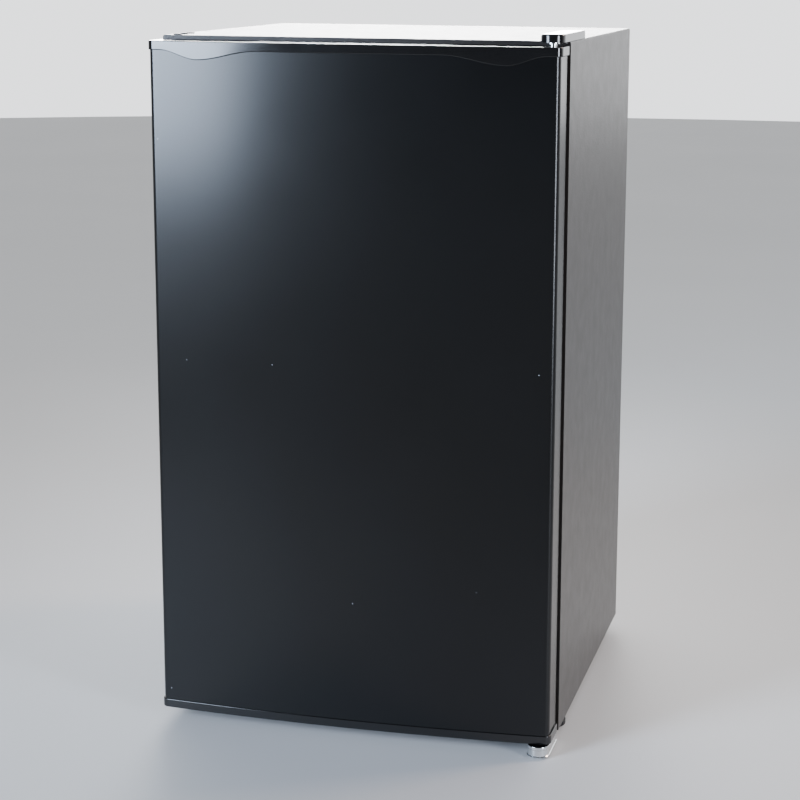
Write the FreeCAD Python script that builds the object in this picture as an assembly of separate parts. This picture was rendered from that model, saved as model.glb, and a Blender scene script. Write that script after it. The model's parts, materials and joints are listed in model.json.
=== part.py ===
import FreeCAD, Part

import math
import os

# Compact single-door refrigerator, as the separate pieces it comes apart into.
# Millimetres, +Z up. The origin is on the floor, under the middle of the overall box.
# The pieces are drawn with Y = 0 on the front face of the cabinet, the door at negative Y
# and the condenser at the rear, and save() moves them all to the origin together.

V = FreeCAD.Vector
ALONG_X = V(1, 0, 0)
ALONG_Y = V(0, 1, 0)
ALONG_Z = V(0, 0, 1)

# ---- driving dimensions: cabinet ----
CABINET_WIDTH = 480.0
CABINET_DEPTH = 432.0
CABINET_TOP = 820.0
CABINET_BOTTOM = 14.0
SHEET = 0.8  # painted steel sheet
FOLD_RADIUS = 2.5  # where the sides fold into the top
FLANGE_LAP = 5.0  # the front flange stops this far outside the liner's mouth
RAIL_DEPTH = 80.0
RAIL_SHEET = 1.5
REAR_FLANGE = 10.0
SIDE_WALL = 35.0  # outer face to the inside of the liner
TOP_WALL = 35.0
BACK_WALL = 40.0
FLOOR_WALL = 45.0
BACK_RECESS = 28.0  # back panel ahead of the rear edges, with the condenser in it
LINER = 2.0
LINER_CORNER = 12.0
MOUTH_RIM = 12.0  # the liner's rim behind the front flange

# ---- compressor bay ----
BAY_DEPTH = 182.0  # from the rear edges of the sides
BAY_TOP = 200.0
BAY_WALL = 35.0
BASE_PLATE = 2.0
BASE_FOLD = 18.0

# ---- shelves, ribs and tray ----
SHELF_LEVELS = (320.0, 460.0)
SPARE_LEVEL = 390.0
TRAY_LEVEL = 610.0
RIB_DEPTH = 7.0
RIB_HEIGHT = 6.0
GLASS = 4.0
SHELF_SIDE_GAP = 1.5
SHELF_FRONT = 96.0
TRIM = 10.0

# ---- door ----
DOOR_BELOW_TOP = 4.5  # the door ends this far below the cabinet's top
DOOR_ABOVE_BOTTOM = 1.5
DOOR_BODY = 42.0  # from the rear face to the front corners
DOOR_BOW = 10.0  # how far the front swells at the middle
DOOR_CORNER = 9.0
GASKET_DEPTH = 9.0
GASKET_TO_PIVOT = 0.5  # the gasket ends this far inside the hinge axis
SEAL_GAP = 0.3
CAP_PROUD_SIDE = 2.0
CAP_PROUD_FRONT = 1.2
CAP_PLATE = 3.0
CAP_SKIRT = 10.5
CAP_EDGE = 1.0
PANEL_RETURN = 10.0  # the steel panel's fold onto the door's rear face
WAVE_DIP = 10.5  # how far the top cap's skirt dips below the plain skirt
WAVE_START = 16.0  # from the cap's end
WAVE_LOWEST = 61.0
WAVE_END = 132.0
SCOOP_START = 26.0
SCOOP_END = 126.0
SCOOP_DEPTH = 16.0
SCOOP_REAR = 7.0  # behind the scoop, to the door's rear face
SCOOP_LIP = 9.0  # ahead of the scoop, to the front corners
SCOOP_WALL = 2.0
DIKE_SETBACK = 13.0  # liner ridge inside the cabinet's mouth
DIKE_WIDTH = 16.0
DIKE_RISE = 18.0  # past the cabinet's front face
BIN_REACH = 72.0  # past the cabinet's front face
BIN_WALL = 2.5
BIN_LEVELS = (("door_bin_upper", 505.0, 58.0), ("door_bin_middle", 330.0, 58.0), ("bottle_rack", 92.0, 95.0))

# ---- hinges ----
SCREW_RADIUS = 2.5
SCREW_HEAD_RADIUS = 4.5
SCREW_HEAD = 2.6
SCREW_LENGTH = 12.0
HINGE_SCREW_Y = (10.0, 30.0, 50.0)
PIVOT_INSET = 14.5  # from the side of the cabinet
PIVOT_AHEAD = 27.0  # ahead of the cabinet's front face
PIN_RADIUS = 4.0
PIN_PLAY = 0.05
PIN_ENGAGEMENT = 10.0
BUSH_RADIUS = 6.0
BUSH_LENGTH = 12.5
HINGE_PLATE = 3.0
HINGE_PLATE_REAR = 60.0
HINGE_COVER_TOP = 9.0
HINGE_COVER_WALL = 1.6
HINGE_COVER_REAR = 95.0
HINGE_SIDE_GAP = 0.8
WASHER_RADIUS = 7.0
BRACKET_NOSE = 60.0  # ahead of the cabinet's front face
BRACKET_REAR = 33.0
BRACKET_SKIRT = 8.0
BRACKET_SKIRT_WALL = 2.0

# ---- feet ----
FRONT_FOOT_INSET = 20.0
FRONT_FOOT_BACK = 56.0
FRONT_FOOT_RADIUS = 18.5
FOOT_STEM_RADIUS = 4.0
FOOT_STEM_RISE = 24.0  # above the underside of the cabinet
NUT_HEIGHT = 7.0
NUT_ACROSS = 14.0
REAR_FOOT_INSET = 24.0
REAR_FOOT_FROM_BACK = 75.0
REAR_FOOT_RADIUS = 13.0
THREAD_PLAY = 0.08

# ---- freezer ----
EVAPORATOR_SIDE_GAP = 30.0  # to the liner's walls
EVAPORATOR_HEIGHT = 125.0
EVAPORATOR_FRONT = 165.0
EVAPORATOR_PLATE = 1.6
EVAPORATOR_CHANNEL = 2.2
HANGER = 10.0
BEZEL = 8.0
BEZEL_DEPTH = 8.0
FLAP = 6.0
FLAP_GAP = 1.0
FLAP_PIN_RADIUS = 2.5
FLAP_PIN_PLAY = 0.06
TRAY_HEIGHT = 22.0
TRAY_WALL = 2.0

# ---- thermostat and lamp, on the right wall ----
CONTROL_FRONT = 140.0
CONTROL_LENGTH = 160.0
CONTROL_BOTTOM = 516.0
CONTROL_HEIGHT = 78.0
CONTROL_WIDTH = 42.0
CONTROL_WALL = 2.0
KNOB_RADIUS = 19.0
KNOB_DEPTH = 12.0
SHAFT_RADIUS = 3.0
SHAFT_PLAY = 0.05
LAMP_RADIUS = 12.0
PLUNGER_RADIUS = 3.5
PLUNGER_PLAY = 0.08
PLUNGER_SHOWING = 7.0
SWITCH_LEVEL = 700.0
SWITCH_WIDTH = 18.0
SWITCH_DEPTH = 26.0

# ---- compressor and tubes ----
COMPRESSOR_X = -60.0
COMPRESSOR_RADIUS = 64.0
COMPRESSOR_HEIGHT = 138.0
GROMMET_HEIGHT = 12.0
GROMMET_SPACING_X = 150.0
GROMMET_SPACING_Y = 96.0
GROMMET_NECK = 6.0
FOOT_PLATE = 3.0
BOLT_RADIUS = 3.0
CORD_GROMMET_RADIUS = 6.5
CORD_INSET = 55.0  # from the cabinet's side
CONDENSER_TUBE_RADIUS = 2.4
CONDENSER_WIRE_RADIUS = 0.8
CONDENSER_STANDOFF = 14.0
CONDENSER_SIDE = 44.0  # from the cabinet's sides to the serpentine's bends
RISER_ASIDE = 14.0
DRIER_ASIDE = 25.0
CONDENSER_PITCH = 60.0
CONDENSER_RUNS = 9
WIRES = 30
WELD = 0.3  # how deep each wire is welded into the tube
SUCTION_RADIUS = 3.2
SUCTION_BEND = 14.0
SUCTION_X = 120.0
CAPILLARY_RADIUS = 1.1
CAPILLARY_GAP = 1.0
TUBE_GROMMET_WALL = 4.0
DRIER_RADIUS = 9.5
DRIER_LENGTH = 80.0

# ---- worked out from the driving dimensions ----
HALF_WIDTH = CABINET_WIDTH / 2
DOOR_TOP = CABINET_TOP - DOOR_BELOW_TOP
DOOR_BOTTOM = CABINET_BOTTOM + DOOR_ABOVE_BOTTOM
DOOR_REAR = -(SEAL_GAP + GASKET_DEPTH)
DOOR_FRONT_CORNER = DOOR_REAR - DOOR_BODY
DOOR_FRONT = DOOR_FRONT_CORNER - DOOR_BOW
BOW_RADIUS = (HALF_WIDTH**2 + DOOR_BOW**2) / (2 * DOOR_BOW)
CENTRE_SHIFT = -(CABINET_DEPTH + DOOR_FRONT) / 2
MOUTH_HALF = HALF_WIDTH - SIDE_WALL
MOUTH_TOP = CABINET_TOP - TOP_WALL
MOUTH_BOTTOM = CABINET_BOTTOM + FLOOR_WALL
BACK_Y = CABINET_DEPTH - BACK_RECESS
CAVITY_BACK = BACK_Y - BACK_WALL
BAY_FRONT = CABINET_DEPTH - BAY_DEPTH
STEP_Y = BAY_FRONT - BAY_WALL
STEP_Z = BAY_TOP + BAY_WALL
PIVOT_X = HALF_WIDTH - PIVOT_INSET
PIVOT_Y = -PIVOT_AHEAD
GASKET_WIDTH = PIVOT_X - GASKET_TO_PIVOT - MOUTH_HALF
EVAPORATOR_HALF = MOUTH_HALF - EVAPORATOR_SIDE_GAP
CONDENSER_Y = BACK_Y + CONDENSER_STANDOFF
COMPRESSOR_Y = BAY_FRONT + BAY_DEPTH / 2
DIKE_HALF = MOUTH_HALF - DIKE_SETBACK
DIKE_TOP = MOUTH_TOP - DIKE_SETBACK
DIKE_BOTTOM = MOUTH_BOTTOM + DIKE_SETBACK
CONTROL_FACE = MOUTH_HALF - CONTROL_WIDTH
FLAP_AXIS_Y = EVAPORATOR_FRONT - BEZEL_DEPTH - FLAP_GAP - FLAP / 2
EVAPORATOR_TOP = MOUTH_TOP - HANGER
EVAPORATOR_BOTTOM = EVAPORATOR_TOP - EVAPORATOR_HEIGHT
FLAP_AXIS_Z = EVAPORATOR_TOP - BEZEL / 2
FLAP_HALF = EVAPORATOR_HALF - BEZEL
BASE_TOP = CABINET_BOTTOM + BASE_PLATE
CONDENSER_HALF = HALF_WIDTH - CONDENSER_SIDE
RISER_X = CONDENSER_HALF + RISER_ASIDE
DRIER_X = RISER_X - DRIER_ASIDE
DRIER_BOTTOM = CABINET_BOTTOM + 60.0
CAPILLARY_X = SUCTION_X + SUCTION_RADIUS + CAPILLARY_RADIUS + CAPILLARY_GAP
SUCTION_ENTRY_Z = EVAPORATOR_BOTTOM + 40.0
CORD_X = CORD_INSET - HALF_WIDTH
RISER_Y = BACK_Y - BACK_WALL / 2
FRONT_FOOT_X = HALF_WIDTH - FRONT_FOOT_INSET
STEM_TOP = CABINET_BOTTOM + FOOT_STEM_RISE
CORD_Z = BASE_TOP + BASE_FOLD / 2 + 0.5
KNOB_Y = CONTROL_FRONT + 42.0
KNOB_Z = CONTROL_BOTTOM + CONTROL_HEIGHT / 2
LAMP_X = (CONTROL_FACE + MOUTH_HALF) / 2 + 2
LAMP_Y0 = CONTROL_FRONT + 84.0
LAMP_Y1 = CONTROL_FRONT + CONTROL_LENGTH - 6.0
LAMP_Z0 = CONTROL_BOTTOM + 8.0
LAMP_Z1 = CONTROL_BOTTOM + CONTROL_HEIGHT - 8.0
THERMOSTAT_FACE = CONTROL_FACE + 6.0
PLUNGER_X = DIKE_HALF - DIKE_WIDTH / 2
COMPRESSOR_BASE = BASE_TOP + GROMMET_HEIGHT
CONDENSER_BOTTOM = BAY_TOP + 35.0
CONDENSER_TOP = CONDENSER_BOTTOM + (CONDENSER_RUNS - 1) * CONDENSER_PITCH


# ---- drawing helpers ----
RUN_SHARE = 0.45  # the most of a tube's run that one bend may take


def block(x0, x1, y0, y1, z0, z1):
    return Part.makeBox(x1 - x0, y1 - y0, z1 - z0, V(x0, y0, z0))


def rod(radius, start, end):
    way = end - start
    return Part.makeCylinder(radius, way.Length, start, way)


def post(radius, x, y, z0, z1):
    return rod(radius, V(x, y, z0), V(x, y, z1))


def fillet(solid, radius, wanted):
    """Round the edges for which wanted(edge) is true."""
    edges = [edge for edge in solid.Edges if wanted(edge)]
    return solid.makeFillet(radius, edges) if edges else solid


def runs_along(edge, direction):
    if not isinstance(edge.Curve, (Part.Line, Part.LineSegment)):
        return False
    way = edge.Vertexes[-1].Point - edge.Vertexes[0].Point
    return way.Length > 0 and abs(way.normalize().dot(direction)) > 0.999


def rounded_block(x0, x1, y0, y1, z0, z1, radius, direction=ALONG_Z):
    """A block whose four edges along one direction are round."""
    return fillet(block(x0, x1, y0, y1, z0, z1), radius, lambda edge: runs_along(edge, direction))


def fuse(solids):
    whole = solids[0].multiFuse(solids[1:]) if len(solids) > 1 else solids[0]
    return whole.removeSplitter()


def mirrored(solid):
    return solid.mirror(V(0, 0, 0), ALONG_X)


def pair(solid):
    """The piece and its mirror image on the other side of the fridge."""
    return [solid, mirrored(solid)]


def extruded(points, direction):
    return Part.Face(Part.makePolygon(points + [points[0]])).extrude(direction)


def pipe(points, radius, bend):
    """A round tube of straight runs joined by tangent arcs, as large as bend where the runs have room."""
    edges = []
    start = points[0]
    for before, corner, after in zip(points, points[1:], points[2:]):
        room = RUN_SHARE * min((corner - before).Length, (after - corner).Length)
        inward = (corner - before).normalize()
        outward = (after - corner).normalize()
        half_turn = math.acos(max(-1.0, min(1.0, inward.dot(outward)))) / 2
        setback = min(bend * math.tan(half_turn), room)
        arc = setback / math.tan(half_turn)
        entry = corner - inward * setback
        leave = corner + outward * setback
        middle = corner + (outward - inward).normalize() * (arc / math.cos(half_turn) - arc)
        if (entry - start).Length > 0.01:
            edges.append(Part.LineSegment(start, entry).toShape())
        edges.append(Part.Arc(entry, middle, leave).toShape())
        start = leave
    edges.append(Part.LineSegment(start, points[-1]).toShape())
    path = Part.Wire(edges)
    way = edges[0].tangentAt(edges[0].FirstParameter)
    section = Part.Wire([Part.Circle(points[0], way, radius).toShape()])
    return path.makePipeShell([section], True, False)


def save(name, shape):
    """Write one piece, moved from the drawing's place to the model's origin."""
    solids = [solid for solid in shape.Solids]
    out = Part.makeCompound(solids) if len(solids) > 1 else solids[0]
    if not out.isValid():
        raise ValueError(name + " is not a valid solid")
    out = out.copy()
    out.translate(V(0, CENTRE_SHIFT, 0))
    out.exportStep("parts/" + name + ".step")
    print(name, len(solids), round(out.Volume))


# ---- door outline ----
def door_prism(side_inset, front_inset, z0, z1, rear=DOOR_REAR):
    """The door's plan, a bowed front with round corners, inset from the caps' faces."""
    half = HALF_WIDTH - side_inset
    bow = BOW_RADIUS - front_inset
    corner = max(DOOR_CORNER - side_inset, 1.0)
    bow_centre = V(0, DOOR_FRONT + BOW_RADIUS, z0)
    corner_x = half - corner
    corner_y = bow_centre.y - math.sqrt((bow - corner) ** 2 - corner_x**2)
    right = V(corner_x, corner_y, z0)
    to_bow = (right - bow_centre).normalize()
    touch = bow_centre + to_bow * bow
    between = (to_bow + ALONG_X).normalize()

    def left(point):
        return V(-point.x, point.y, point.z)

    rear_right = V(half, rear, z0)
    side_right = V(half, corner_y, z0)
    middle_right = right + between * corner
    front = V(0, bow_centre.y - bow, z0)
    edges = [
        Part.LineSegment(rear_right, side_right).toShape(),
        Part.Arc(side_right, middle_right, touch).toShape(),
        Part.Arc(touch, front, left(touch)).toShape(),
        Part.Arc(left(touch), left(middle_right), left(side_right)).toShape(),
        Part.LineSegment(left(side_right), left(rear_right)).toShape(),
        Part.LineSegment(left(rear_right), rear_right).toShape(),
    ]
    return Part.Face(Part.Wire(edges)).extrude(V(0, 0, z1 - z0))


def ring(half, bottom, top, width, y0, y1):
    """A rectangular ring in the XZ plane, measured to its outer edge."""
    outer = block(-half, half, y0, y1, bottom, top)
    inner = block(-half + width, half - width, y0, y1, bottom + width, top - width)
    return outer.cut(inner)


# ---- cabinet ----
def cavity(inset):
    """The space inside the liner, or the liner's outside when inset is negative."""
    front = 0.0
    radius = LINER_CORNER - inset
    floor = MOUTH_BOTTOM + inset
    top = MOUTH_TOP - inset
    step_y = STEP_Y - inset
    step_z = STEP_Z + inset
    back = CAVITY_BACK - inset
    half = MOUTH_HALF - inset
    profile = [
        V(-half, front, floor),
        V(-half, step_y, floor),
        V(-half, step_y, step_z),
        V(-half, back, step_z),
        V(-half, back, top),
        V(-half, front, top),
    ]
    solid = extruded(profile, V(2 * half, 0, 0))
    inner_step = LINER_CORNER + inset

    def rounds(edge):
        return edge.BoundBox.YMin > front + 1 and runs_along(edge, ALONG_X)

    def at_step(edge):
        box = edge.BoundBox
        return runs_along(edge, ALONG_X) and abs(box.YMin - step_y) < 0.01 and abs(box.ZMin - step_z) < 0.01

    solid = fillet(solid, radius, lambda edge: rounds(edge) and not at_step(edge))
    return fillet(solid, inner_step, at_step)


def liner_ribs():
    """Ledges on the side walls that carry the shelves and the tray."""
    ribs = []
    for level in SHELF_LEVELS + (SPARE_LEVEL, TRAY_LEVEL):
        rear = CAVITY_BACK - LINER_CORNER
        rib = block(MOUTH_HALF - RIB_DEPTH, MOUTH_HALF, SHELF_FRONT, rear, level - RIB_HEIGHT, level)
        rib = fillet(rib, RIB_HEIGHT / 2 - 0.5,
                     lambda edge: edge.BoundBox.XMax < MOUTH_HALF - RIB_DEPTH + 0.01
                     and runs_along(edge, ALONG_Y))
        ribs += pair(rib)
    return ribs


def inner_liner():
    tub = cavity(-LINER).cut(cavity(0.0))
    rim = block(-MOUTH_HALF - MOUTH_RIM, MOUTH_HALF + MOUTH_RIM, SHEET, SHEET + LINER,
                MOUTH_BOTTOM - MOUTH_RIM, MOUTH_TOP + MOUTH_RIM)
    tub = fuse([tub, rim.cut(cavity(0.0))] + liner_ribs())
    suction_hole = rod(SUCTION_RADIUS, V(SUCTION_X, CAVITY_BACK - 5, SUCTION_ENTRY_Z),
                       V(SUCTION_X, BACK_Y, SUCTION_ENTRY_Z))
    capillary_hole = rod(CAPILLARY_RADIUS, V(CAPILLARY_X, CAVITY_BACK - 5, SUCTION_ENTRY_Z),
                         V(CAPILLARY_X, BACK_Y, SUCTION_ENTRY_Z))
    return tub.cut(suction_hole).cut(capillary_hole)


def outer_shell():
    outer = block(-HALF_WIDTH, HALF_WIDTH, 0, CABINET_DEPTH, CABINET_BOTTOM, CABINET_TOP)
    inner = block(-HALF_WIDTH + SHEET, HALF_WIDTH - SHEET, 0, CABINET_DEPTH, CABINET_BOTTOM,
                  CABINET_TOP - SHEET)

    def folds(edge):
        return runs_along(edge, ALONG_Y) and edge.BoundBox.ZMin > CABINET_TOP - 2 * SHEET

    outer = fillet(outer, FOLD_RADIUS, folds)
    inner = fillet(inner, FOLD_RADIUS - SHEET, folds)
    front = outer.common(block(-HALF_WIDTH, HALF_WIDTH, 0, SHEET, CABINET_BOTTOM, CABINET_TOP))
    front = front.cut(block(-MOUTH_HALF - FLANGE_LAP, MOUTH_HALF + FLANGE_LAP, 0, SHEET,
                            CABINET_BOTTOM, MOUTH_TOP + FLANGE_LAP))
    rear = outer.common(block(-HALF_WIDTH, HALF_WIDTH, CABINET_DEPTH - SHEET, CABINET_DEPTH,
                              CABINET_BOTTOM, CABINET_TOP))
    rear = rear.cut(block(-HALF_WIDTH + REAR_FLANGE, HALF_WIDTH - REAR_FLANGE, 0, CABINET_DEPTH,
                          CABINET_BOTTOM, CABINET_TOP - REAR_FLANGE))
    shell = fuse([outer.cut(inner), front, rear])
    for x, y in hinge_screw_places():
        shell = shell.cut(post(SCREW_RADIUS, x, y, CABINET_TOP - 10, CABINET_TOP + 1))
    return shell



def front_base_rail():
    """Folded rail across the bottom of the front, which carries the feet and the lower hinge."""
    half = HALF_WIDTH - SHEET
    face = block(-half, half, 0, SHEET, CABINET_BOTTOM, MOUTH_BOTTOM - FLANGE_LAP)
    face = face.fuse(block(-MOUTH_HALF - FLANGE_LAP, MOUTH_HALF + FLANGE_LAP, 0, SHEET,
                           CABINET_BOTTOM, MOUTH_BOTTOM - FLANGE_LAP))
    face = face.cut(block(-HALF_WIDTH, -MOUTH_HALF - FLANGE_LAP, 0, SHEET, CABINET_BOTTOM, CABINET_TOP))
    face = face.cut(block(MOUTH_HALF + FLANGE_LAP, HALF_WIDTH, 0, SHEET, CABINET_BOTTOM, CABINET_TOP))
    floor = block(-half, half, SHEET, RAIL_DEPTH, CABINET_BOTTOM, CABINET_BOTTOM + RAIL_SHEET)
    floor = floor.fuse(block(-MOUTH_HALF - FLANGE_LAP, MOUTH_HALF + FLANGE_LAP, 0, SHEET,
                             CABINET_BOTTOM, CABINET_BOTTOM + RAIL_SHEET))
    rail = fuse([face, floor])
    for x in (-FRONT_FOOT_X, FRONT_FOOT_X):
        rail = rail.cut(post(FOOT_STEM_RADIUS + 0.5, x, FRONT_FOOT_BACK, 0, CABINET_BOTTOM + 10))
    for x, y in bracket_screw_places():
        rail = rail.cut(post(SCREW_RADIUS, x, y, 0, CABINET_BOTTOM + 10))
    return rail



def bottom_pan():
    half = HALF_WIDTH - SHEET
    return block(-half, half, RAIL_DEPTH, BAY_FRONT, CABINET_BOTTOM, CABINET_BOTTOM + SHEET)


def bay_panel():
    """The stepped sheet that closes the foam over the compressor bay."""
    half = HALF_WIDTH - SHEET
    wall = block(-half, half, BAY_FRONT - SHEET, BAY_FRONT, CABINET_BOTTOM + SHEET, BAY_TOP)
    roof = block(-half, half, BAY_FRONT - SHEET, BACK_Y, BAY_TOP, BAY_TOP + SHEET)
    panel = fuse([wall, roof])
    panel = panel.cut(post(SUCTION_RADIUS + TUBE_GROMMET_WALL, SUCTION_X, RISER_Y, BAY_TOP - 5,
                           BAY_TOP + 5))
    return panel



def back_panel():
    half = HALF_WIDTH - SHEET
    panel = block(-half, half, BACK_Y - SHEET, BACK_Y, BAY_TOP + SHEET, CABINET_TOP - SHEET)
    return fillet(panel, FOLD_RADIUS - SHEET, lambda edge: runs_along(edge, ALONG_Y)
                  and edge.BoundBox.ZMin > CABINET_TOP - 2 * SHEET)


def cabinet_foam():
    """Foam that fills the space between the steel outside and the liner."""
    half = HALF_WIDTH - SHEET
    upper = block(-half, half, SHEET, BACK_Y - SHEET, BAY_TOP + SHEET, CABINET_TOP - SHEET)
    lower = block(-half, half, SHEET, BAY_FRONT - SHEET, CABINET_BOTTOM + RAIL_SHEET, BAY_TOP + SHEET)
    foam = fuse([upper, lower])
    foam = fillet(foam, FOLD_RADIUS - SHEET, lambda edge: runs_along(edge, ALONG_Y)
                  and edge.BoundBox.ZMin > CABINET_TOP - 2 * SHEET)
    foam = foam.cut(cavity(-LINER))
    foam = foam.cut(block(-MOUTH_HALF - MOUTH_RIM, MOUTH_HALF + MOUTH_RIM, 0, SHEET + LINER,
                          MOUTH_BOTTOM - MOUTH_RIM, MOUTH_TOP + MOUTH_RIM))
    for x in (-FRONT_FOOT_X, FRONT_FOOT_X):
        foam = foam.cut(post(NUT_ACROSS * 0.6, x, FRONT_FOOT_BACK, CABINET_BOTTOM, STEM_TOP + 3))
    for x, y in bracket_screw_places():
        foam = foam.cut(post(SCREW_RADIUS, x, y, CABINET_BOTTOM,
                             CABINET_BOTTOM - HINGE_PLATE + SCREW_LENGTH))
    foam = foam.cut(hinge_reinforcement(solid_block=True))
    for x, y in hinge_screw_places():
        foam = foam.cut(post(SCREW_RADIUS, x, y, CABINET_TOP + HINGE_PLATE - SCREW_LENGTH, CABINET_TOP))
    foam = foam.cut(post(SUCTION_RADIUS + TUBE_GROMMET_WALL, SUCTION_X, RISER_Y, BAY_TOP - 5, BAY_TOP + 4))
    foam = foam.cut(pipe(suction_path()[2:], SUCTION_RADIUS, SUCTION_BEND))
    foam = foam.cut(pipe(capillary_path()[-3:], CAPILLARY_RADIUS, SUCTION_BEND))
    return foam


def compressor_base_plate():
    half = HALF_WIDTH - SHEET
    rear = CABINET_DEPTH - SHEET - 1.0
    plate = block(-half, half, BAY_FRONT, rear, CABINET_BOTTOM, BASE_TOP)
    fold = block(-half, half, rear - BASE_PLATE, rear, CABINET_BOTTOM, BASE_TOP + BASE_FOLD)
    plate = fuse([plate, fold])
    for x, y in grommet_places():
        plate = plate.cut(post(BOLT_RADIUS, x, y, 0, BASE_TOP + 5))
    plate = plate.cut(rod(CORD_GROMMET_RADIUS, V(CORD_X, rear - 10, CORD_Z), V(CORD_X, rear + 10, CORD_Z)))
    return plate



# ---- hinges ----
def hinge_screw_places():
    return [(PIVOT_X, y) for y in HINGE_SCREW_Y]


def bracket_screw_places():
    return [(PIVOT_X - 7.0, 12.0), (PIVOT_X + 5.0, 26.0)]


def hinge_reinforcement(solid_block=False):
    """Steel strip under the shell's top, which the hinge screws bite into."""
    x0, x1 = PIVOT_X - 11.0, PIVOT_X + 8.0
    plate = block(x0, x1, SHEET, HINGE_PLATE_REAR + 6, CABINET_TOP - SHEET - 2.0, CABINET_TOP - SHEET)
    if solid_block:
        return plate
    for x, y in hinge_screw_places():
        plate = plate.cut(post(SCREW_RADIUS, x, y, CABINET_TOP - 10, CABINET_TOP))
    return plate


def top_hinge_plate():
    """Flat plate with the upper hinge pin riveted in its front end."""
    half = PIVOT_INSET - HINGE_SIDE_GAP - HINGE_COVER_WALL - 0.3
    z0, z1 = CABINET_TOP, CABINET_TOP + HINGE_PLATE
    plate = block(PIVOT_X - half, PIVOT_X + half, PIVOT_Y, HINGE_PLATE_REAR, z0, z1)
    plate = plate.fuse(post(half, PIVOT_X, PIVOT_Y, z0, z1))
    plate = plate.fuse(post(PIN_RADIUS, PIVOT_X, PIVOT_Y, DOOR_TOP - PIN_ENGAGEMENT, z1 + 1.0))
    plate = plate.removeSplitter()
    for x, y in hinge_screw_places():
        plate = plate.cut(post(SCREW_RADIUS, x, y, z0 - 1, z1 + 1))
    return plate


def hinge_cover():
    """Hollow cover over the hinge plate, round at its front end."""
    x0, x1 = HALF_WIDTH - 2 * PIVOT_INSET + HINGE_SIDE_GAP, HALF_WIDTH - HINGE_SIDE_GAP
    half = (x1 - x0) / 2
    z0, z1 = CABINET_TOP, CABINET_TOP + HINGE_COVER_TOP

    def lump(inset, top):
        body = block(x0 + inset, x1 - inset, PIVOT_Y, HINGE_COVER_REAR - inset, z0, top)
        return body.fuse(post(half - inset, PIVOT_X, PIVOT_Y, z0, top)).removeSplitter()

    outside = lump(0.0, z1)
    outside = fillet(outside, 2.0, lambda edge: edge.BoundBox.ZMin > z1 - 0.01)
    return outside.cut(lump(HINGE_COVER_WALL, z1 - HINGE_COVER_WALL))


def screw(x, y, seat, tip, head_up=True):
    way = 1 if head_up else -1
    shank = post(SCREW_RADIUS, x, y, min(seat, tip), max(seat, tip))
    head = rod(SCREW_HEAD_RADIUS, V(x, y, seat), V(x, y, seat + way * SCREW_HEAD))
    head = fillet(head, 1.2, lambda edge: abs(edge.BoundBox.ZMin - seat - way * SCREW_HEAD) < 0.01
                  and edge.BoundBox.ZLength < 0.01)
    return fuse([shank, head])


def hinge_screws():
    """Three screws through the top plate and two up through the bottom bracket."""
    seat = CABINET_TOP + HINGE_PLATE
    screws = [screw(x, y, seat, seat - SCREW_LENGTH) for x, y in hinge_screw_places()]
    seat = CABINET_BOTTOM - HINGE_PLATE
    screws += [screw(x, y, seat, seat + SCREW_LENGTH, head_up=False) for x, y in bracket_screw_places()]
    return Part.makeCompound(screws)


def lower_hinge_bracket():
    """Bright bracket under the cabinet and the door, with a skirt turned down round its nose."""
    half = PIVOT_INSET - 2.0
    z1 = CABINET_BOTTOM
    z0 = z1 - HINGE_PLATE
    nose_y = -BRACKET_NOSE + half

    def tongue(inset, bottom, top, rear):
        body = block(PIVOT_X - half + inset, PIVOT_X + half - inset, nose_y, rear, bottom, top)
        return body.fuse(post(half - inset, PIVOT_X, nose_y, bottom, top)).removeSplitter()

    plate = tongue(0.0, z0, z1, BRACKET_REAR)
    skirt = tongue(0.0, z0 - BRACKET_SKIRT, z0, 0.0).cut(tongue(BRACKET_SKIRT_WALL, 0, z0, 1.0))
    bracket = fuse([plate, skirt])
    bracket = fillet(bracket, 1.5, lambda edge: edge.BoundBox.ZMin > z1 - 0.01 and edge.BoundBox.YMax < 1.0)
    bracket = bracket.cut(post(PIN_RADIUS, PIVOT_X, PIVOT_Y, 0, CABINET_TOP))
    for x, y in bracket_screw_places():
        bracket = bracket.cut(post(SCREW_RADIUS, x, y, 0, CABINET_BOTTOM + 1))
    return bracket


def lower_hinge_pin():
    """Pin riveted into the bracket, with its head underneath."""
    pin = post(PIN_RADIUS, PIVOT_X, PIVOT_Y, CABINET_BOTTOM - HINGE_PLATE, DOOR_BOTTOM + PIN_ENGAGEMENT)
    pin = fillet(pin, 1.0, lambda edge: edge.BoundBox.ZMin > DOOR_BOTTOM + PIN_ENGAGEMENT - 0.01)
    head = post(PIN_RADIUS + 1.5, PIVOT_X, PIVOT_Y, CABINET_BOTTOM - HINGE_PLATE - 1.5,
                CABINET_BOTTOM - HINGE_PLATE)
    return fuse([pin, head])


def hinge_washers():
    """One washer under the hinge plate, one on the bracket."""
    upper = post(WASHER_RADIUS, PIVOT_X, PIVOT_Y, CABINET_TOP - 1.5, CABINET_TOP)
    lower = post(WASHER_RADIUS, PIVOT_X, PIVOT_Y, CABINET_BOTTOM, DOOR_BOTTOM - SEAL_GAP)
    both = [upper, lower]
    pin = post(PIN_RADIUS, PIVOT_X, PIVOT_Y, 0, 2 * CABINET_TOP)
    return Part.makeCompound([washer.cut(pin) for washer in both])


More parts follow.
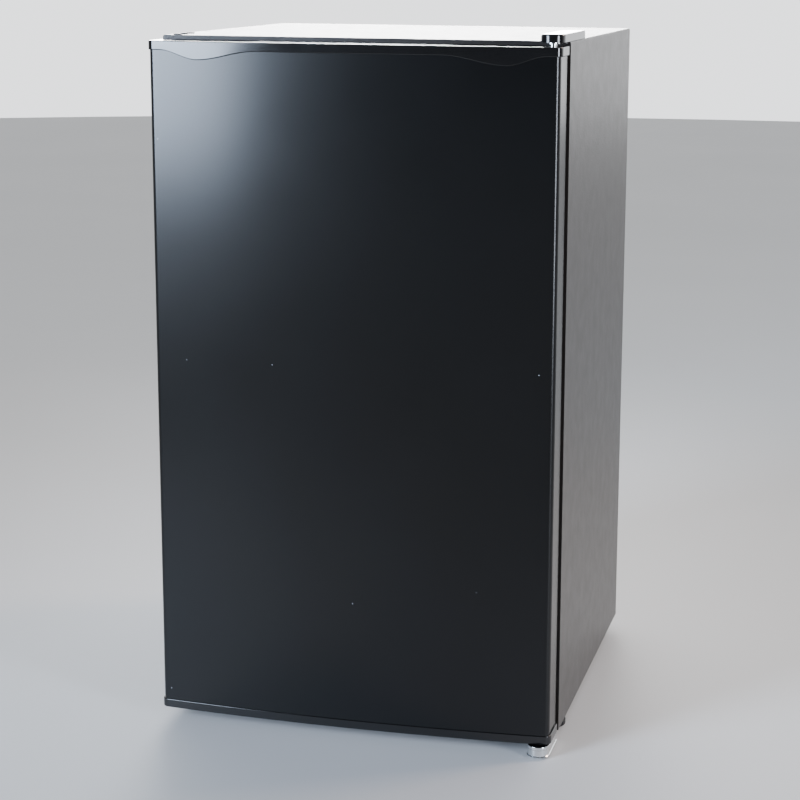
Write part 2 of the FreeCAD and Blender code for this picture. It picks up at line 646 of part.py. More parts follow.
def hinge_bushes():
    """Bushes in the door's caps that turn on the two pins."""
    bore = PIN_RADIUS + PIN_PLAY
    upper = post(BUSH_RADIUS, PIVOT_X, PIVOT_Y, DOOR_TOP - BUSH_LENGTH, DOOR_TOP)
    upper = upper.cut(post(bore, PIVOT_X, PIVOT_Y, DOOR_TOP - PIN_ENGAGEMENT - 0.5, DOOR_TOP))
    lower = post(BUSH_RADIUS, PIVOT_X, PIVOT_Y, DOOR_BOTTOM, DOOR_BOTTOM + BUSH_LENGTH)
    lower = lower.cut(post(bore, PIVOT_X, PIVOT_Y, DOOR_BOTTOM, DOOR_BOTTOM + PIN_ENGAGEMENT + 0.5))
    return Part.makeCompound([upper, lower])


def hinge_hole_plugs():
    """Plugs in the hinge holes of the other side, for a door that can be hung either way."""
    plugs = []
    for x, y in hinge_screw_places():
        plugs.append(post(5.0, -x, y, CABINET_TOP, CABINET_TOP + 1.2))
    rounded = [fillet(plug, 0.6, lambda edge: edge.BoundBox.ZMin > CABINET_TOP + 1.19) for plug in plugs]
    return Part.makeCompound(rounded)


# ---- feet ----
def front_foot(side):
    x = side * FRONT_FOOT_X
    pad = Part.makeCone(FRONT_FOOT_RADIUS, FRONT_FOOT_RADIUS - 3, 6.0, V(x, FRONT_FOOT_BACK, 0))
    hexagon = [V(x + 7.5 * math.cos(math.radians(60 * k)),
                 FRONT_FOOT_BACK + 7.5 * math.sin(math.radians(60 * k)), 6.0)
               for k in range(6)]
    collar = extruded(hexagon, V(0, 0, 5.0))
    stem = post(FOOT_STEM_RADIUS, x, FRONT_FOOT_BACK, 6.0, STEM_TOP)
    return fuse([pad, collar, stem])


def foot_nuts():
    nuts = []
    for x in (-FRONT_FOOT_X, FRONT_FOOT_X):
        corners = [V(x + NUT_ACROSS / math.sqrt(3) * math.cos(math.radians(60 * k)),
                     FRONT_FOOT_BACK + NUT_ACROSS / math.sqrt(3) * math.sin(math.radians(60 * k)),
                     CABINET_BOTTOM + RAIL_SHEET) for k in range(6)]
        nut = extruded(corners, V(0, 0, NUT_HEIGHT))
        nuts.append(nut.cut(post(FOOT_STEM_RADIUS + THREAD_PLAY, x, FRONT_FOOT_BACK, 0, CABINET_TOP)))
    return Part.makeCompound(nuts)


def rear_feet():
    x = HALF_WIDTH - REAR_FOOT_INSET
    y = CABINET_DEPTH - REAR_FOOT_FROM_BACK
    foot = Part.makeCone(REAR_FOOT_RADIUS - 2, REAR_FOOT_RADIUS, CABINET_BOTTOM, V(x, y, 0))
    return Part.makeCompound(pair(foot))


# ---- door ----
def door_outer_panel():
    z0, z1 = DOOR_BOTTOM + CAP_PLATE, DOOR_TOP - CAP_PLATE
    outer = door_prism(CAP_PROUD_SIDE, CAP_PROUD_FRONT, z0, z1)
    inner = door_prism(CAP_PROUD_SIDE + SHEET, CAP_PROUD_FRONT + SHEET, z0, z1)
    side = HALF_WIDTH - CAP_PROUD_SIDE
    turn = block(side - PANEL_RETURN, side - SHEET / 2, DOOR_REAR - SHEET, DOOR_REAR, z0, z1)
    return fuse([outer.cut(inner)] + pair(turn))



def wave_edge(z_plain, z_low, y0, y1):
    """Everything below the top cap's waved lower edge, ahead of the door's sides."""
    def spline(points):
        curve = Part.BSplineCurve()
        flat = V(1, 0, 0)
        curve.interpolate(points, False, Tangents=[flat] * len(points), TangentFlags=[True] * len(points))
        return curve.toShape()

    middle = (z_plain + z_low) / 2
    places = (-HALF_WIDTH + WAVE_START, -HALF_WIDTH + WAVE_LOWEST, -HALF_WIDTH + WAVE_END)
    left_wave = spline([V(places[0], y0, z_plain), V(places[1], y0, z_low), V(places[2], y0, z_plain)])
    right_wave = spline([V(-places[2], y0, z_plain), V(-places[1], y0, z_low), V(-places[0], y0, z_plain)])
    edge_x = HALF_WIDTH + 5
    low = middle - 40
    edges = [
        Part.LineSegment(V(-edge_x, y0, low), V(-edge_x, y0, z_plain)).toShape(),
        Part.LineSegment(V(-edge_x, y0, z_plain), V(places[0], y0, z_plain)).toShape(),
        left_wave,
        Part.LineSegment(V(places[2], y0, z_plain), V(-places[2], y0, z_plain)).toShape(),
        right_wave,
        Part.LineSegment(V(-places[0], y0, z_plain), V(edge_x, y0, z_plain)).toShape(),
        Part.LineSegment(V(edge_x, y0, z_plain), V(edge_x, y0, low)).toShape(),
        Part.LineSegment(V(edge_x, y0, low), V(-edge_x, y0, low)).toShape(),
    ]
    return Part.Face(Part.Wire(edges)).extrude(V(0, y1 - y0, 0))


def scoop(grow):
    """The finger scoop behind the left wave, or its walls' outside when grow is positive."""
    x0 = -HALF_WIDTH + SCOOP_START - grow
    x1 = -HALF_WIDTH + SCOOP_END + grow
    y0 = DOOR_FRONT_CORNER + SCOOP_LIP - grow
    y1 = DOOR_REAR - SCOOP_REAR + grow
    z0 = DOOR_TOP - SCOOP_DEPTH - grow
    hollow = block(x0, x1, y0, y1, z0, DOOR_TOP)
    hollow = fillet(hollow, 8.0 + grow, lambda edge: runs_along(edge, ALONG_Z))
    return fillet(hollow, 6.0, lambda edge: edge.BoundBox.ZMax < z0 + 0.01)


def door_top_cap():
    z1 = DOOR_TOP
    low = z1 - CAP_SKIRT - WAVE_DIP
    outside = door_prism(0, 0, low, z1)
    outside = fillet(outside, CAP_EDGE,
                     lambda edge: edge.BoundBox.ZMin > z1 - 0.01 and edge.BoundBox.YMin < DOOR_REAR - 1)
    inside = door_prism(CAP_PROUD_SIDE, CAP_PROUD_FRONT, low, z1 - CAP_PLATE)
    cap = outside.cut(inside)
    cap = cap.cut(wave_edge(z1 - CAP_SKIRT, low, DOOR_FRONT - 5, 0.0))
    cap = cap.fuse(scoop(SCOOP_WALL)).fuse(mirrored(scoop(SCOOP_WALL)))
    cap = cap.cut(scoop(0.0)).cut(mirrored(scoop(0.0))).removeSplitter()
    return cap.cut(post(BUSH_RADIUS, PIVOT_X, PIVOT_Y, 0, z1 + 1))


def door_bottom_cap():
    z0 = DOOR_BOTTOM
    outside = door_prism(0, 0, z0, z0 + CAP_SKIRT)
    outside = fillet(outside, CAP_EDGE,
                     lambda edge: edge.BoundBox.ZMax < z0 + 0.01 and edge.BoundBox.YMin < DOOR_REAR - 1)
    inside = door_prism(CAP_PROUD_SIDE, CAP_PROUD_FRONT, z0 + CAP_PLATE, z0 + CAP_SKIRT)
    return outside.cut(inside).cut(post(BUSH_RADIUS, PIVOT_X, PIVOT_Y, 0, CABINET_TOP))


def dike(inset, y0):
    """The ridge that the door's liner pushes into the cabinet's mouth."""
    half, bottom, top = DIKE_HALF - inset, DIKE_BOTTOM + inset, DIKE_TOP - inset
    ridge = ring(half, bottom, top, DIKE_WIDTH - 2 * inset, y0, DIKE_RISE - inset)
    return ridge


def door_liner():
    half = HALF_WIDTH - CAP_PROUD_SIDE - PANEL_RETURN
    sheet = block(-half, half, DOOR_REAR - LINER, DOOR_REAR, DOOR_BOTTOM + CAP_PLATE, DOOR_TOP - CAP_PLATE)
    liner = sheet.fuse(dike(0.0, DOOR_REAR - LINER)).cut(dike(LINER, DOOR_REAR - LINER))
    return liner.removeSplitter()


def door_foam():
    z0, z1 = DOOR_BOTTOM + CAP_PLATE, DOOR_TOP - CAP_PLATE
    core = door_prism(CAP_PROUD_SIDE + SHEET, CAP_PROUD_FRONT + SHEET, z0, z1, DOOR_REAR - LINER)
    foam = fuse([core, dike(LINER, DOOR_REAR - LINER)])
    foam = foam.cut(scoop(SCOOP_WALL)).cut(mirrored(scoop(SCOOP_WALL)))
    foam = foam.cut(post(BUSH_RADIUS, PIVOT_X, PIVOT_Y, DOOR_TOP - BUSH_LENGTH, DOOR_TOP))
    return foam.cut(post(BUSH_RADIUS, PIVOT_X, PIVOT_Y, DOOR_BOTTOM, DOOR_BOTTOM + BUSH_LENGTH))


def door_gasket():
    half = MOUTH_HALF + GASKET_WIDTH
    seal = ring(half, MOUTH_BOTTOM - GASKET_WIDTH, MOUTH_TOP + GASKET_WIDTH, GASKET_WIDTH, DOOR_REAR,
                -SEAL_GAP)
    return fillet(seal, 3.0, lambda edge: edge.BoundBox.YMin > -SEAL_GAP - 0.01
                  and (abs(edge.CenterOfMass.x) > MOUTH_HALF + 1 or edge.CenterOfMass.z > MOUTH_TOP + 1
                       or edge.CenterOfMass.z < MOUTH_BOTTOM - 1))


def door_bin(bottom, height):
    """An open bin held between the dikes, with its guard towards the cabinet."""
    half = DIKE_HALF - DIKE_WIDTH
    outside = block(-half, half, DOOR_REAR, BIN_REACH, bottom, bottom + height)

    def inner_corners(edge):
        return runs_along(edge, ALONG_Z) and edge.BoundBox.YMin > BIN_REACH - 1

    outside = fillet(outside, 14.0, inner_corners)
    reach = BIN_REACH - BIN_WALL
    inside = block(-half + BIN_WALL, half - BIN_WALL, DOOR_REAR + BIN_WALL, reach, bottom + BIN_WALL,
                   bottom + height)
    inside = fillet(inside, 14.0 - BIN_WALL,
                    lambda edge: runs_along(edge, ALONG_Z) and edge.BoundBox.YMin > reach - 1)
    return outside.cut(inside)


# ---- freezer ----
def evaporator():
    """Roll-bond aluminium folded into a box, open at the front, with its channels outside."""
    half = EVAPORATOR_HALF
    rear = CAVITY_BACK - 8.0
    outer = block(-half, half, EVAPORATOR_FRONT, rear, EVAPORATOR_BOTTOM, EVAPORATOR_TOP)
    inner = block(-half + EVAPORATOR_PLATE, half - EVAPORATOR_PLATE, EVAPORATOR_FRONT,
                  rear - EVAPORATOR_PLATE,
                  EVAPORATOR_BOTTOM + EVAPORATOR_PLATE, EVAPORATOR_TOP - EVAPORATOR_PLATE)
    whole = [outer.cut(inner)]
    rows = 6
    pitch = (rear - EVAPORATOR_FRONT - 30.0) / (rows - 1)
    for row in range(rows):
        y = EVAPORATOR_FRONT + 15.0 + row * pitch
        whole.append(block(-half + 12, half - 12, y - 3.5, y + 3.5, EVAPORATOR_BOTTOM - EVAPORATOR_CHANNEL,
                           EVAPORATOR_BOTTOM + 0.5))
        if row < rows - 1:
            x = (half - 15.5) * (1 if row % 2 else -1)
            whole.append(block(x - 3.5, x + 3.5, y, y + pitch, EVAPORATOR_BOTTOM - EVAPORATOR_CHANNEL,
                               EVAPORATOR_BOTTOM + 0.5))
    for row in range(4):
        z = EVAPORATOR_BOTTOM + 20.0 + row * (EVAPORATOR_HEIGHT - 40.0) / 3
        bar = block(half - 0.5, half + EVAPORATOR_CHANNEL, EVAPORATOR_FRONT + 15, rear - 15, z - 3.5,
                    z + 3.5)
        whole += pair(bar)
    return fuse(whole)


def evaporator_hangers():
    hangers = []
    for y in (EVAPORATOR_FRONT + 25.0, CAVITY_BACK - 45.0):
        x = EVAPORATOR_HALF - 40.0
        hanger = rounded_block(x - 9, x + 9, y - 9, y + 9, EVAPORATOR_TOP, MOUTH_TOP, 4.0)
        hangers += pair(hanger)
    return Part.makeCompound(hangers)


def freezer_bezel():
    """Frame on the evaporator's mouth, with ears that hold the flap's pins."""
    half = EVAPORATOR_HALF + 6.0
    y1 = EVAPORATOR_FRONT
    y0 = y1 - BEZEL_DEPTH
    bottom, top = EVAPORATOR_BOTTOM - 4.0, EVAPORATOR_TOP + 4.0
    outer = rounded_block(-half, half, y0, y1, bottom, top, 6.0, ALONG_Y)
    width = BEZEL + 6.0
    inner = rounded_block(-half + width, half - width, y0, y1, bottom + BEZEL + 4, top - BEZEL - 4, 4.0,
                          ALONG_Y)
    ear = rounded_block(FLAP_HALF + FLAP_GAP, FLAP_HALF + FLAP_GAP + 4.0, FLAP_AXIS_Y - 5.0, y0 + 1,
                        FLAP_AXIS_Z - 5.0, FLAP_AXIS_Z + 5.0, 2.0, ALONG_X)
    bezel = fuse([outer.cut(inner)] + pair(ear))
    return bezel.cut(rod(FLAP_PIN_RADIUS + FLAP_PIN_PLAY, V(-HALF_WIDTH, FLAP_AXIS_Y, FLAP_AXIS_Z),
                         V(HALF_WIDTH, FLAP_AXIS_Y, FLAP_AXIS_Z)))


def freezer_flap():
    """Top-hung flap with a finger lip along its bottom."""
    y0, y1 = FLAP_AXIS_Y - FLAP / 2, FLAP_AXIS_Y + FLAP / 2
    bottom = EVAPORATOR_BOTTOM + 2.0
    panel = block(-FLAP_HALF, FLAP_HALF, y0, y1, bottom, FLAP_AXIS_Z)
    panel = panel.fuse(rod(FLAP / 2, V(-FLAP_HALF, FLAP_AXIS_Y, FLAP_AXIS_Z),
                           V(FLAP_HALF, FLAP_AXIS_Y, FLAP_AXIS_Z)))
    lip = rounded_block(-60.0, 60.0, y0 - 6.0, y0 + 1.0, bottom, bottom + 12.0, 2.5, ALONG_X)
    pin_end = FLAP_HALF + FLAP_GAP + 4.0
    pin = rod(FLAP_PIN_RADIUS, V(-pin_end, FLAP_AXIS_Y, FLAP_AXIS_Z), V(pin_end, FLAP_AXIS_Y, FLAP_AXIS_Z))
    return fuse([panel, lip, pin])


def drip_tray():
    """Shallow tray that slides on the top pair of ribs."""
    half = MOUTH_HALF - 3.0
    floor_half = MOUTH_HALF - RIB_DEPTH - 3.0
    y0, y1 = EVAPORATOR_FRONT - 22.0, CAVITY_BACK - 14.0
    z0 = TRAY_LEVEL + SEAL_GAP
    bottom = z0 - 6.0
    tub = rounded_block(-floor_half, floor_half, y0, y1, bottom, z0 + TRAY_HEIGHT - 8, 8.0)
    flange = block(-half, half, y0, y1, z0, z0 + 2.5)
    inside = rounded_block(-floor_half + TRAY_WALL, floor_half - TRAY_WALL, y0 + TRAY_WALL, y1 - TRAY_WALL,
                           bottom + TRAY_WALL, z0 + TRAY_HEIGHT, 6.0)
    lip = rounded_block(-70.0, 70.0, y0 - 8.0, y0 + 1.0, z0 + 2, z0 + TRAY_HEIGHT - 8, 3.0, ALONG_X)
    return fuse([tub, flange, lip]).cut(inside)


# ---- shelves ----
def glass_shelf(level):
    half = MOUTH_HALF - SHELF_SIDE_GAP
    return block(-half, half, SHELF_FRONT + TRIM - 2, CAVITY_BACK - 14.0, level, level + GLASS)


def shelf_trims(level):
    """Plastic rails along the glass's front and rear edges."""
    half = MOUTH_HALF - SHELF_SIDE_GAP
    front = rounded_block(-half, half, SHELF_FRONT, SHELF_FRONT + TRIM, level, level + 12.0, 3.0, ALONG_X)
    front = front.cut(block(-half, half, SHELF_FRONT + TRIM - 2, CABINET_DEPTH, level, level + GLASS))
    rear_y = CAVITY_BACK - 14.0
    rear = block(-half, half, rear_y - 6, rear_y + 2, level, level + 16.0)
    rear = rear.cut(block(-half, half, 0, rear_y, level, level + GLASS))
    return Part.makeCompound([front, rear])


# ---- thermostat, lamp and switch ----
def control_box(inset):
    """The plan of the thermostat's housing on the right wall."""
    return block(CONTROL_FACE + inset, MOUTH_HALF, CONTROL_FRONT + inset,
                 CONTROL_FRONT + CONTROL_LENGTH - inset,
                 CONTROL_BOTTOM + inset, CONTROL_BOTTOM + CONTROL_HEIGHT - inset)



def thermostat_housing():
    outside = fillet(control_box(0.0), 6.0, lambda edge: edge.BoundBox.XMax < CONTROL_FACE + 0.01)
    housing = outside.cut(control_box(CONTROL_WALL))
    housing = housing.cut(block(CONTROL_FACE - 1, CONTROL_FACE + CONTROL_WALL + 1, LAMP_Y0, LAMP_Y1,
                                LAMP_Z0, LAMP_Z1))
    hole = rod(SHAFT_RADIUS + 1.5, V(CONTROL_FACE - 1, KNOB_Y, KNOB_Z), V(CONTROL_FACE + 5, KNOB_Y, KNOB_Z))
    return housing.cut(hole)


def thermostat():
    unit = block(THERMOSTAT_FACE, MOUTH_HALF, KNOB_Y - 20, KNOB_Y + 20, KNOB_Z - 15, KNOB_Z + 15)
    collar = rod(SHAFT_RADIUS + 1.5, V(CONTROL_FACE + CONTROL_WALL, KNOB_Y, KNOB_Z),
                 V(THERMOSTAT_FACE + 1, KNOB_Y, KNOB_Z))
    bore = rod(SHAFT_RADIUS + SHAFT_PLAY, V(CONTROL_FACE, KNOB_Y, KNOB_Z),
               V(THERMOSTAT_FACE + 12.5, KNOB_Y, KNOB_Z))
    return fuse([unit, collar]).cut(bore)


def thermostat_knob():
    """Dial with a grip bar, on the thermostat's shaft."""
    face = CONTROL_FACE - SEAL_GAP
    disc = rod(KNOB_RADIUS, V(face - KNOB_DEPTH + 5, KNOB_Y, KNOB_Z), V(face, KNOB_Y, KNOB_Z))
    grip = rounded_block(face - KNOB_DEPTH, face - 2, KNOB_Y - 3.5, KNOB_Y + 3.5, KNOB_Z - KNOB_RADIUS + 1,
                         KNOB_Z + KNOB_RADIUS - 1, 2.0, ALONG_X)
    shaft = rod(SHAFT_RADIUS, V(face - 1, KNOB_Y, KNOB_Z), V(THERMOSTAT_FACE + 12.0, KNOB_Y, KNOB_Z))
    return fuse([disc, grip, shaft])


def lamp_cover():
    """Clear cover that snaps into the housing's window."""
    pane = block(CONTROL_FACE, CONTROL_FACE + CONTROL_WALL, LAMP_Y0, LAMP_Y1, LAMP_Z0, LAMP_Z1)
    dome = rounded_block(CONTROL_FACE - 5, CONTROL_FACE + 1, LAMP_Y0 + 4, LAMP_Y1 - 4, LAMP_Z0 + 4,
                         LAMP_Z1 - 4, 5.0, ALONG_X)
    inside = rounded_block(CONTROL_FACE - 3, CONTROL_FACE + 3, LAMP_Y0 + 6, LAMP_Y1 - 6, LAMP_Z0 + 6,
                           LAMP_Z1 - 6, 4.0,
                           ALONG_X)
    return fuse([pane, dome]).cut(inside)


def lamp_holder():
    """Socket on a short bracket from the liner's wall."""
    socket = rod(LAMP_RADIUS, V(LAMP_X, LAMP_Y0 - 12, KNOB_Z), V(LAMP_X, LAMP_Y0 + 10, KNOB_Z))
    bracket = block(LAMP_X, MOUTH_HALF, LAMP_Y0 - 12, LAMP_Y0 - 6, KNOB_Z - 8, KNOB_Z + 8)
    hollow = rod(LAMP_RADIUS - 3, V(LAMP_X, LAMP_Y0 + 2, KNOB_Z), V(LAMP_X, LAMP_Y0 + 10, KNOB_Z))
    return fuse([socket, bracket]).cut(hollow)


def lamp():
    neck = rod(LAMP_RADIUS - 3, V(LAMP_X, LAMP_Y0 + 2, KNOB_Z), V(LAMP_X, LAMP_Y0 + 24, KNOB_Z))
    return fuse([neck, Part.makeSphere(LAMP_RADIUS, V(LAMP_X, LAMP_Y0 + 32, KNOB_Z))])



def door_switch():
    """Light switch on the liner's hinge side, facing the door's dike."""
    y0 = DIKE_RISE + PLUNGER_SHOWING
    z0, z1 = SWITCH_LEVEL - SWITCH_WIDTH / 2, SWITCH_LEVEL + SWITCH_WIDTH / 2
    body = block(PLUNGER_X - SWITCH_WIDTH / 2, MOUTH_HALF, y0, y0 + SWITCH_DEPTH, z0, z1)
    body = fillet(body, 2.0, lambda edge: edge.BoundBox.XMax < PLUNGER_X)
    return body.cut(rod(PLUNGER_RADIUS + PLUNGER_PLAY, V(PLUNGER_X, y0 - 1, SWITCH_LEVEL),
                        V(PLUNGER_X, y0 + SWITCH_DEPTH - 4.0, SWITCH_LEVEL)))


def switch_plunger():
    """Button that the closed door's dike holds in."""
    tip = DIKE_RISE + SEAL_GAP
    end = DIKE_RISE + PLUNGER_SHOWING + SWITCH_DEPTH - 5.0
    pin = rod(PLUNGER_RADIUS, V(PLUNGER_X, tip, SWITCH_LEVEL), V(PLUNGER_X, end, SWITCH_LEVEL))
    return fillet(pin, 1.5, lambda edge: edge.BoundBox.YMax < tip + 0.01)


# ---- refrigeration circuit ----
def grommet_places():
    half_x, half_y = GROMMET_SPACING_X / 2, GROMMET_SPACING_Y / 2
    return [(COMPRESSOR_X + sx * half_x, COMPRESSOR_Y + sy * half_y) for sx in (-1, 1) for sy in (-1, 1)]



def compressor():
    """Sealed steel can of two halves with a weld seam, on a foot plate."""
    bottom = COMPRESSOR_BASE + FOOT_PLATE
    top = bottom + COMPRESSOR_HEIGHT
    can = post(COMPRESSOR_RADIUS, COMPRESSOR_X, COMPRESSOR_Y, bottom, top)
    can = fillet(can, 24.0, lambda edge: edge.BoundBox.ZMin > top - 0.01)
    can = fillet(can, 10.0, lambda edge: edge.BoundBox.ZMax < bottom + 0.01)
    seam = post(COMPRESSOR_RADIUS + 2.5, COMPRESSOR_X, COMPRESSOR_Y, bottom + 82.0, bottom + 87.0)
    plate = rounded_block(COMPRESSOR_X - GROMMET_SPACING_X / 2 - 12,
                          COMPRESSOR_X + GROMMET_SPACING_X / 2 + 12,
                          COMPRESSOR_Y - GROMMET_SPACING_Y / 2 - 12, COMPRESSOR_Y + GROMMET_SPACING_Y / 2 + 12,
                          COMPRESSOR_BASE, bottom, 10.0)
    plate = plate.fuse(post(COMPRESSOR_RADIUS - 12, COMPRESSOR_X, COMPRESSOR_Y, COMPRESSOR_BASE,
                            bottom + 1))
    process = rod(3.0, V(COMPRESSOR_X - COMPRESSOR_RADIUS + 4, COMPRESSOR_Y + 10, bottom + 60),
                  V(COMPRESSOR_X - COMPRESSOR_RADIUS - 26, COMPRESSOR_Y + 10, bottom + 60))
    whole = fuse([can, seam, plate, process])
    for x, y in grommet_places():
        whole = whole.cut(post(GROMMET_NECK, x, y, 0, bottom + 5))
    return whole



def compressor_grommets():
    rubbers = []
    for x, y in grommet_places():
        rubber = post(10.0, x, y, BASE_TOP, COMPRESSOR_BASE)
        rubber = rubber.fuse(post(GROMMET_NECK, x, y, COMPRESSOR_BASE, COMPRESSOR_BASE + FOOT_PLATE))
        rubber = rubber.fuse(post(9.0, x, y, COMPRESSOR_BASE + FOOT_PLATE,
                                  COMPRESSOR_BASE + FOOT_PLATE + 3))
        rubbers.append(rubber.removeSplitter().cut(post(BOLT_RADIUS, x, y, 0, CABINET_TOP)))
    return Part.makeCompound(rubbers)


def compressor_bolts():
    bolts = []
    for x, y in grommet_places():
        seat = COMPRESSOR_BASE + FOOT_PLATE + 3
        shank = post(BOLT_RADIUS, x, y, CABINET_BOTTOM, seat)
        head = [V(x + 5.5 * math.cos(math.radians(60 * k)), y + 5.5 * math.sin(math.radians(60 * k)), seat)
                for k in range(6)]
        bolts.append(fuse([shank, extruded(head, V(0, 0, 4.0))]))
    return Part.makeCompound(bolts)


def relay_cover():
    """Plastic box over the compressor's start relay and terminals."""
    x0 = COMPRESSOR_X + COMPRESSOR_RADIUS - 14
    bottom = COMPRESSOR_BASE + FOOT_PLATE + 22
    box = rounded_block(x0, x0 + 52, COMPRESSOR_Y - 32, COMPRESSOR_Y + 32, bottom, bottom + 52, 5.0)
    return box.cut(compressor())


def suction_path():
    x1 = COMPRESSOR_X + COMPRESSOR_RADIUS - 6
    z = COMPRESSOR_BASE + FOOT_PLATE + 105.0
    y = COMPRESSOR_Y
    return [V(x1, y, z), V(SUCTION_X, y, z), V(SUCTION_X, RISER_Y, z), V(SUCTION_X, RISER_Y, SUCTION_ENTRY_Z),
            V(SUCTION_X, CAVITY_BACK - 8.0, SUCTION_ENTRY_Z)]



def suction_tube():
    return pipe(suction_path(), SUCTION_RADIUS, SUCTION_BEND).cut(compressor())


def capillary_path():
    top = DRIER_BOTTOM
    low = DRIER_BOTTOM - 22.0
    x = CAPILLARY_X
    return [V(DRIER_X, RISER_Y, top), V(DRIER_X, RISER_Y, low), V(x, RISER_Y, low),
            V(x, RISER_Y, SUCTION_ENTRY_Z), V(x, CAVITY_BACK - 8.0, SUCTION_ENTRY_Z)]


def capillary_tube():
    return pipe(capillary_path(), CAPILLARY_RADIUS, 10.0)


def tube_grommet():
    """Rubber where the suction and capillary tubes pass the bay's roof."""
    rubber = post(SUCTION_RADIUS + TUBE_GROMMET_WALL, SUCTION_X, RISER_Y, BAY_TOP - 3, BAY_TOP + 4)
    flange = post(SUCTION_RADIUS + TUBE_GROMMET_WALL + 3, SUCTION_X, RISER_Y, BAY_TOP - 3, BAY_TOP)
    rubber = rubber.fuse(flange).removeSplitter()
    return rubber.cut(suction_tube()).cut(capillary_tube())


def filter_drier():
    low, high = DRIER_BOTTOM, DRIER_BOTTOM + DRIER_LENGTH
    drier = post(DRIER_RADIUS, DRIER_X, RISER_Y, low, high)
    drier = drier.makeFillet(5.0, [edge for edge in drier.Edges if edge.BoundBox.ZLength < 0.01])
    return drier


def condenser_path():
    """Riser, a serpentine of level runs from the top down, then the way to the drier."""
    half = CONDENSER_HALF
    points = [V(RISER_X, CONDENSER_Y, BAY_TOP), V(RISER_X, CONDENSER_Y, CONDENSER_TOP)]
    side = -1
    for run in range(CONDENSER_RUNS - 1):
        z = CONDENSER_TOP - run * CONDENSER_PITCH
        points.append(V(side * half, CONDENSER_Y, z))
        points.append(V(side * half, CONDENSER_Y, z - CONDENSER_PITCH))
        side = -side
    turn_z = BAY_TOP - 14.0
    points.append(V(side * (half - 40.0), CONDENSER_Y, CONDENSER_BOTTOM))
    points.append(V(side * (half - 40.0), CONDENSER_Y, turn_z))
    points.append(V(DRIER_X, CONDENSER_Y, turn_z))
    points.append(V(DRIER_X, RISER_Y, turn_z))
    points.append(V(DRIER_X, RISER_Y, DRIER_BOTTOM + DRIER_LENGTH))
    return points


def condenser_tube():
    return pipe(condenser_path(), CONDENSER_TUBE_RADIUS, CONDENSER_PITCH / 2)


def condenser_wires():
    """Upright wires welded on both faces of the serpentine."""
    reach = CONDENSER_TUBE_RADIUS + CONDENSER_WIRE_RADIUS - WELD
    top = CONDENSER_TOP + 12.0
    bottom = CONDENSER_BOTTOM - 12.0
    span = 2 * CONDENSER_HALF - 40.0
    wires = []
    for row in range(WIRES):
        x = -span / 2 + row * span / (WIRES - 1)
        for side in (-1, 1):
            y = CONDENSER_Y + side * reach
            wires.append(post(CONDENSER_WIRE_RADIUS, x, y, bottom, top))
    return Part.makeCompound(wires)



def condenser_brackets():
    """Plastic stand-offs that hold the top and bottom runs off the back panel."""
    brackets = []
    for x in (-CONDENSER_HALF / 2, CONDENSER_HALF / 2):
        for z in (CONDENSER_TOP, CONDENSER_BOTTOM):
            foot = rounded_block(x - 4.5, x + 4.5, BACK_Y, CONDENSER_Y + 5.0, z - 7, z + 7, 2.0, ALONG_Y)
            brackets.append(foot)
    whole = Part.makeCompound(brackets)
    return whole.cut(condenser_tube()).cut(condenser_wires())


def discharge_tube():
    """From the can to the foot of the condenser's riser."""
    z = COMPRESSOR_BASE + FOOT_PLATE + 100.0
    aside = 34.0
    y = COMPRESSOR_Y + aside
    x = COMPRESSOR_X + math.sqrt(COMPRESSOR_RADIUS**2 - aside**2) - 6
    points = [V(x, y, z), V(x + 50, y, z), V(x + 50, CONDENSER_Y, z), V(RISER_X, CONDENSER_Y, z),
              V(RISER_X, CONDENSER_Y, BAY_TOP)]
    return pipe(points, CONDENSER_TUBE_RADIUS, 12.0).cut(compressor())


def cord_grommet():
    rear = CABINET_DEPTH - SHEET - 1.0
    inner_end = V(CORD_X, rear - BASE_PLATE - 2, CORD_Z)
    ring_body = rod(CORD_GROMMET_RADIUS, inner_end, V(CORD_X, rear + 1.5, CORD_Z))
    flange = rod(CORD_GROMMET_RADIUS + 2, inner_end, V(CORD_X, rear - BASE_PLATE, CORD_Z))
    hole = rod(CORD_GROMMET_RADIUS - 2, V(CORD_X, rear - 20, CORD_Z), V(CORD_X, rear + 20, CORD_Z))
    return fuse([ring_body, flange]).cut(hole)


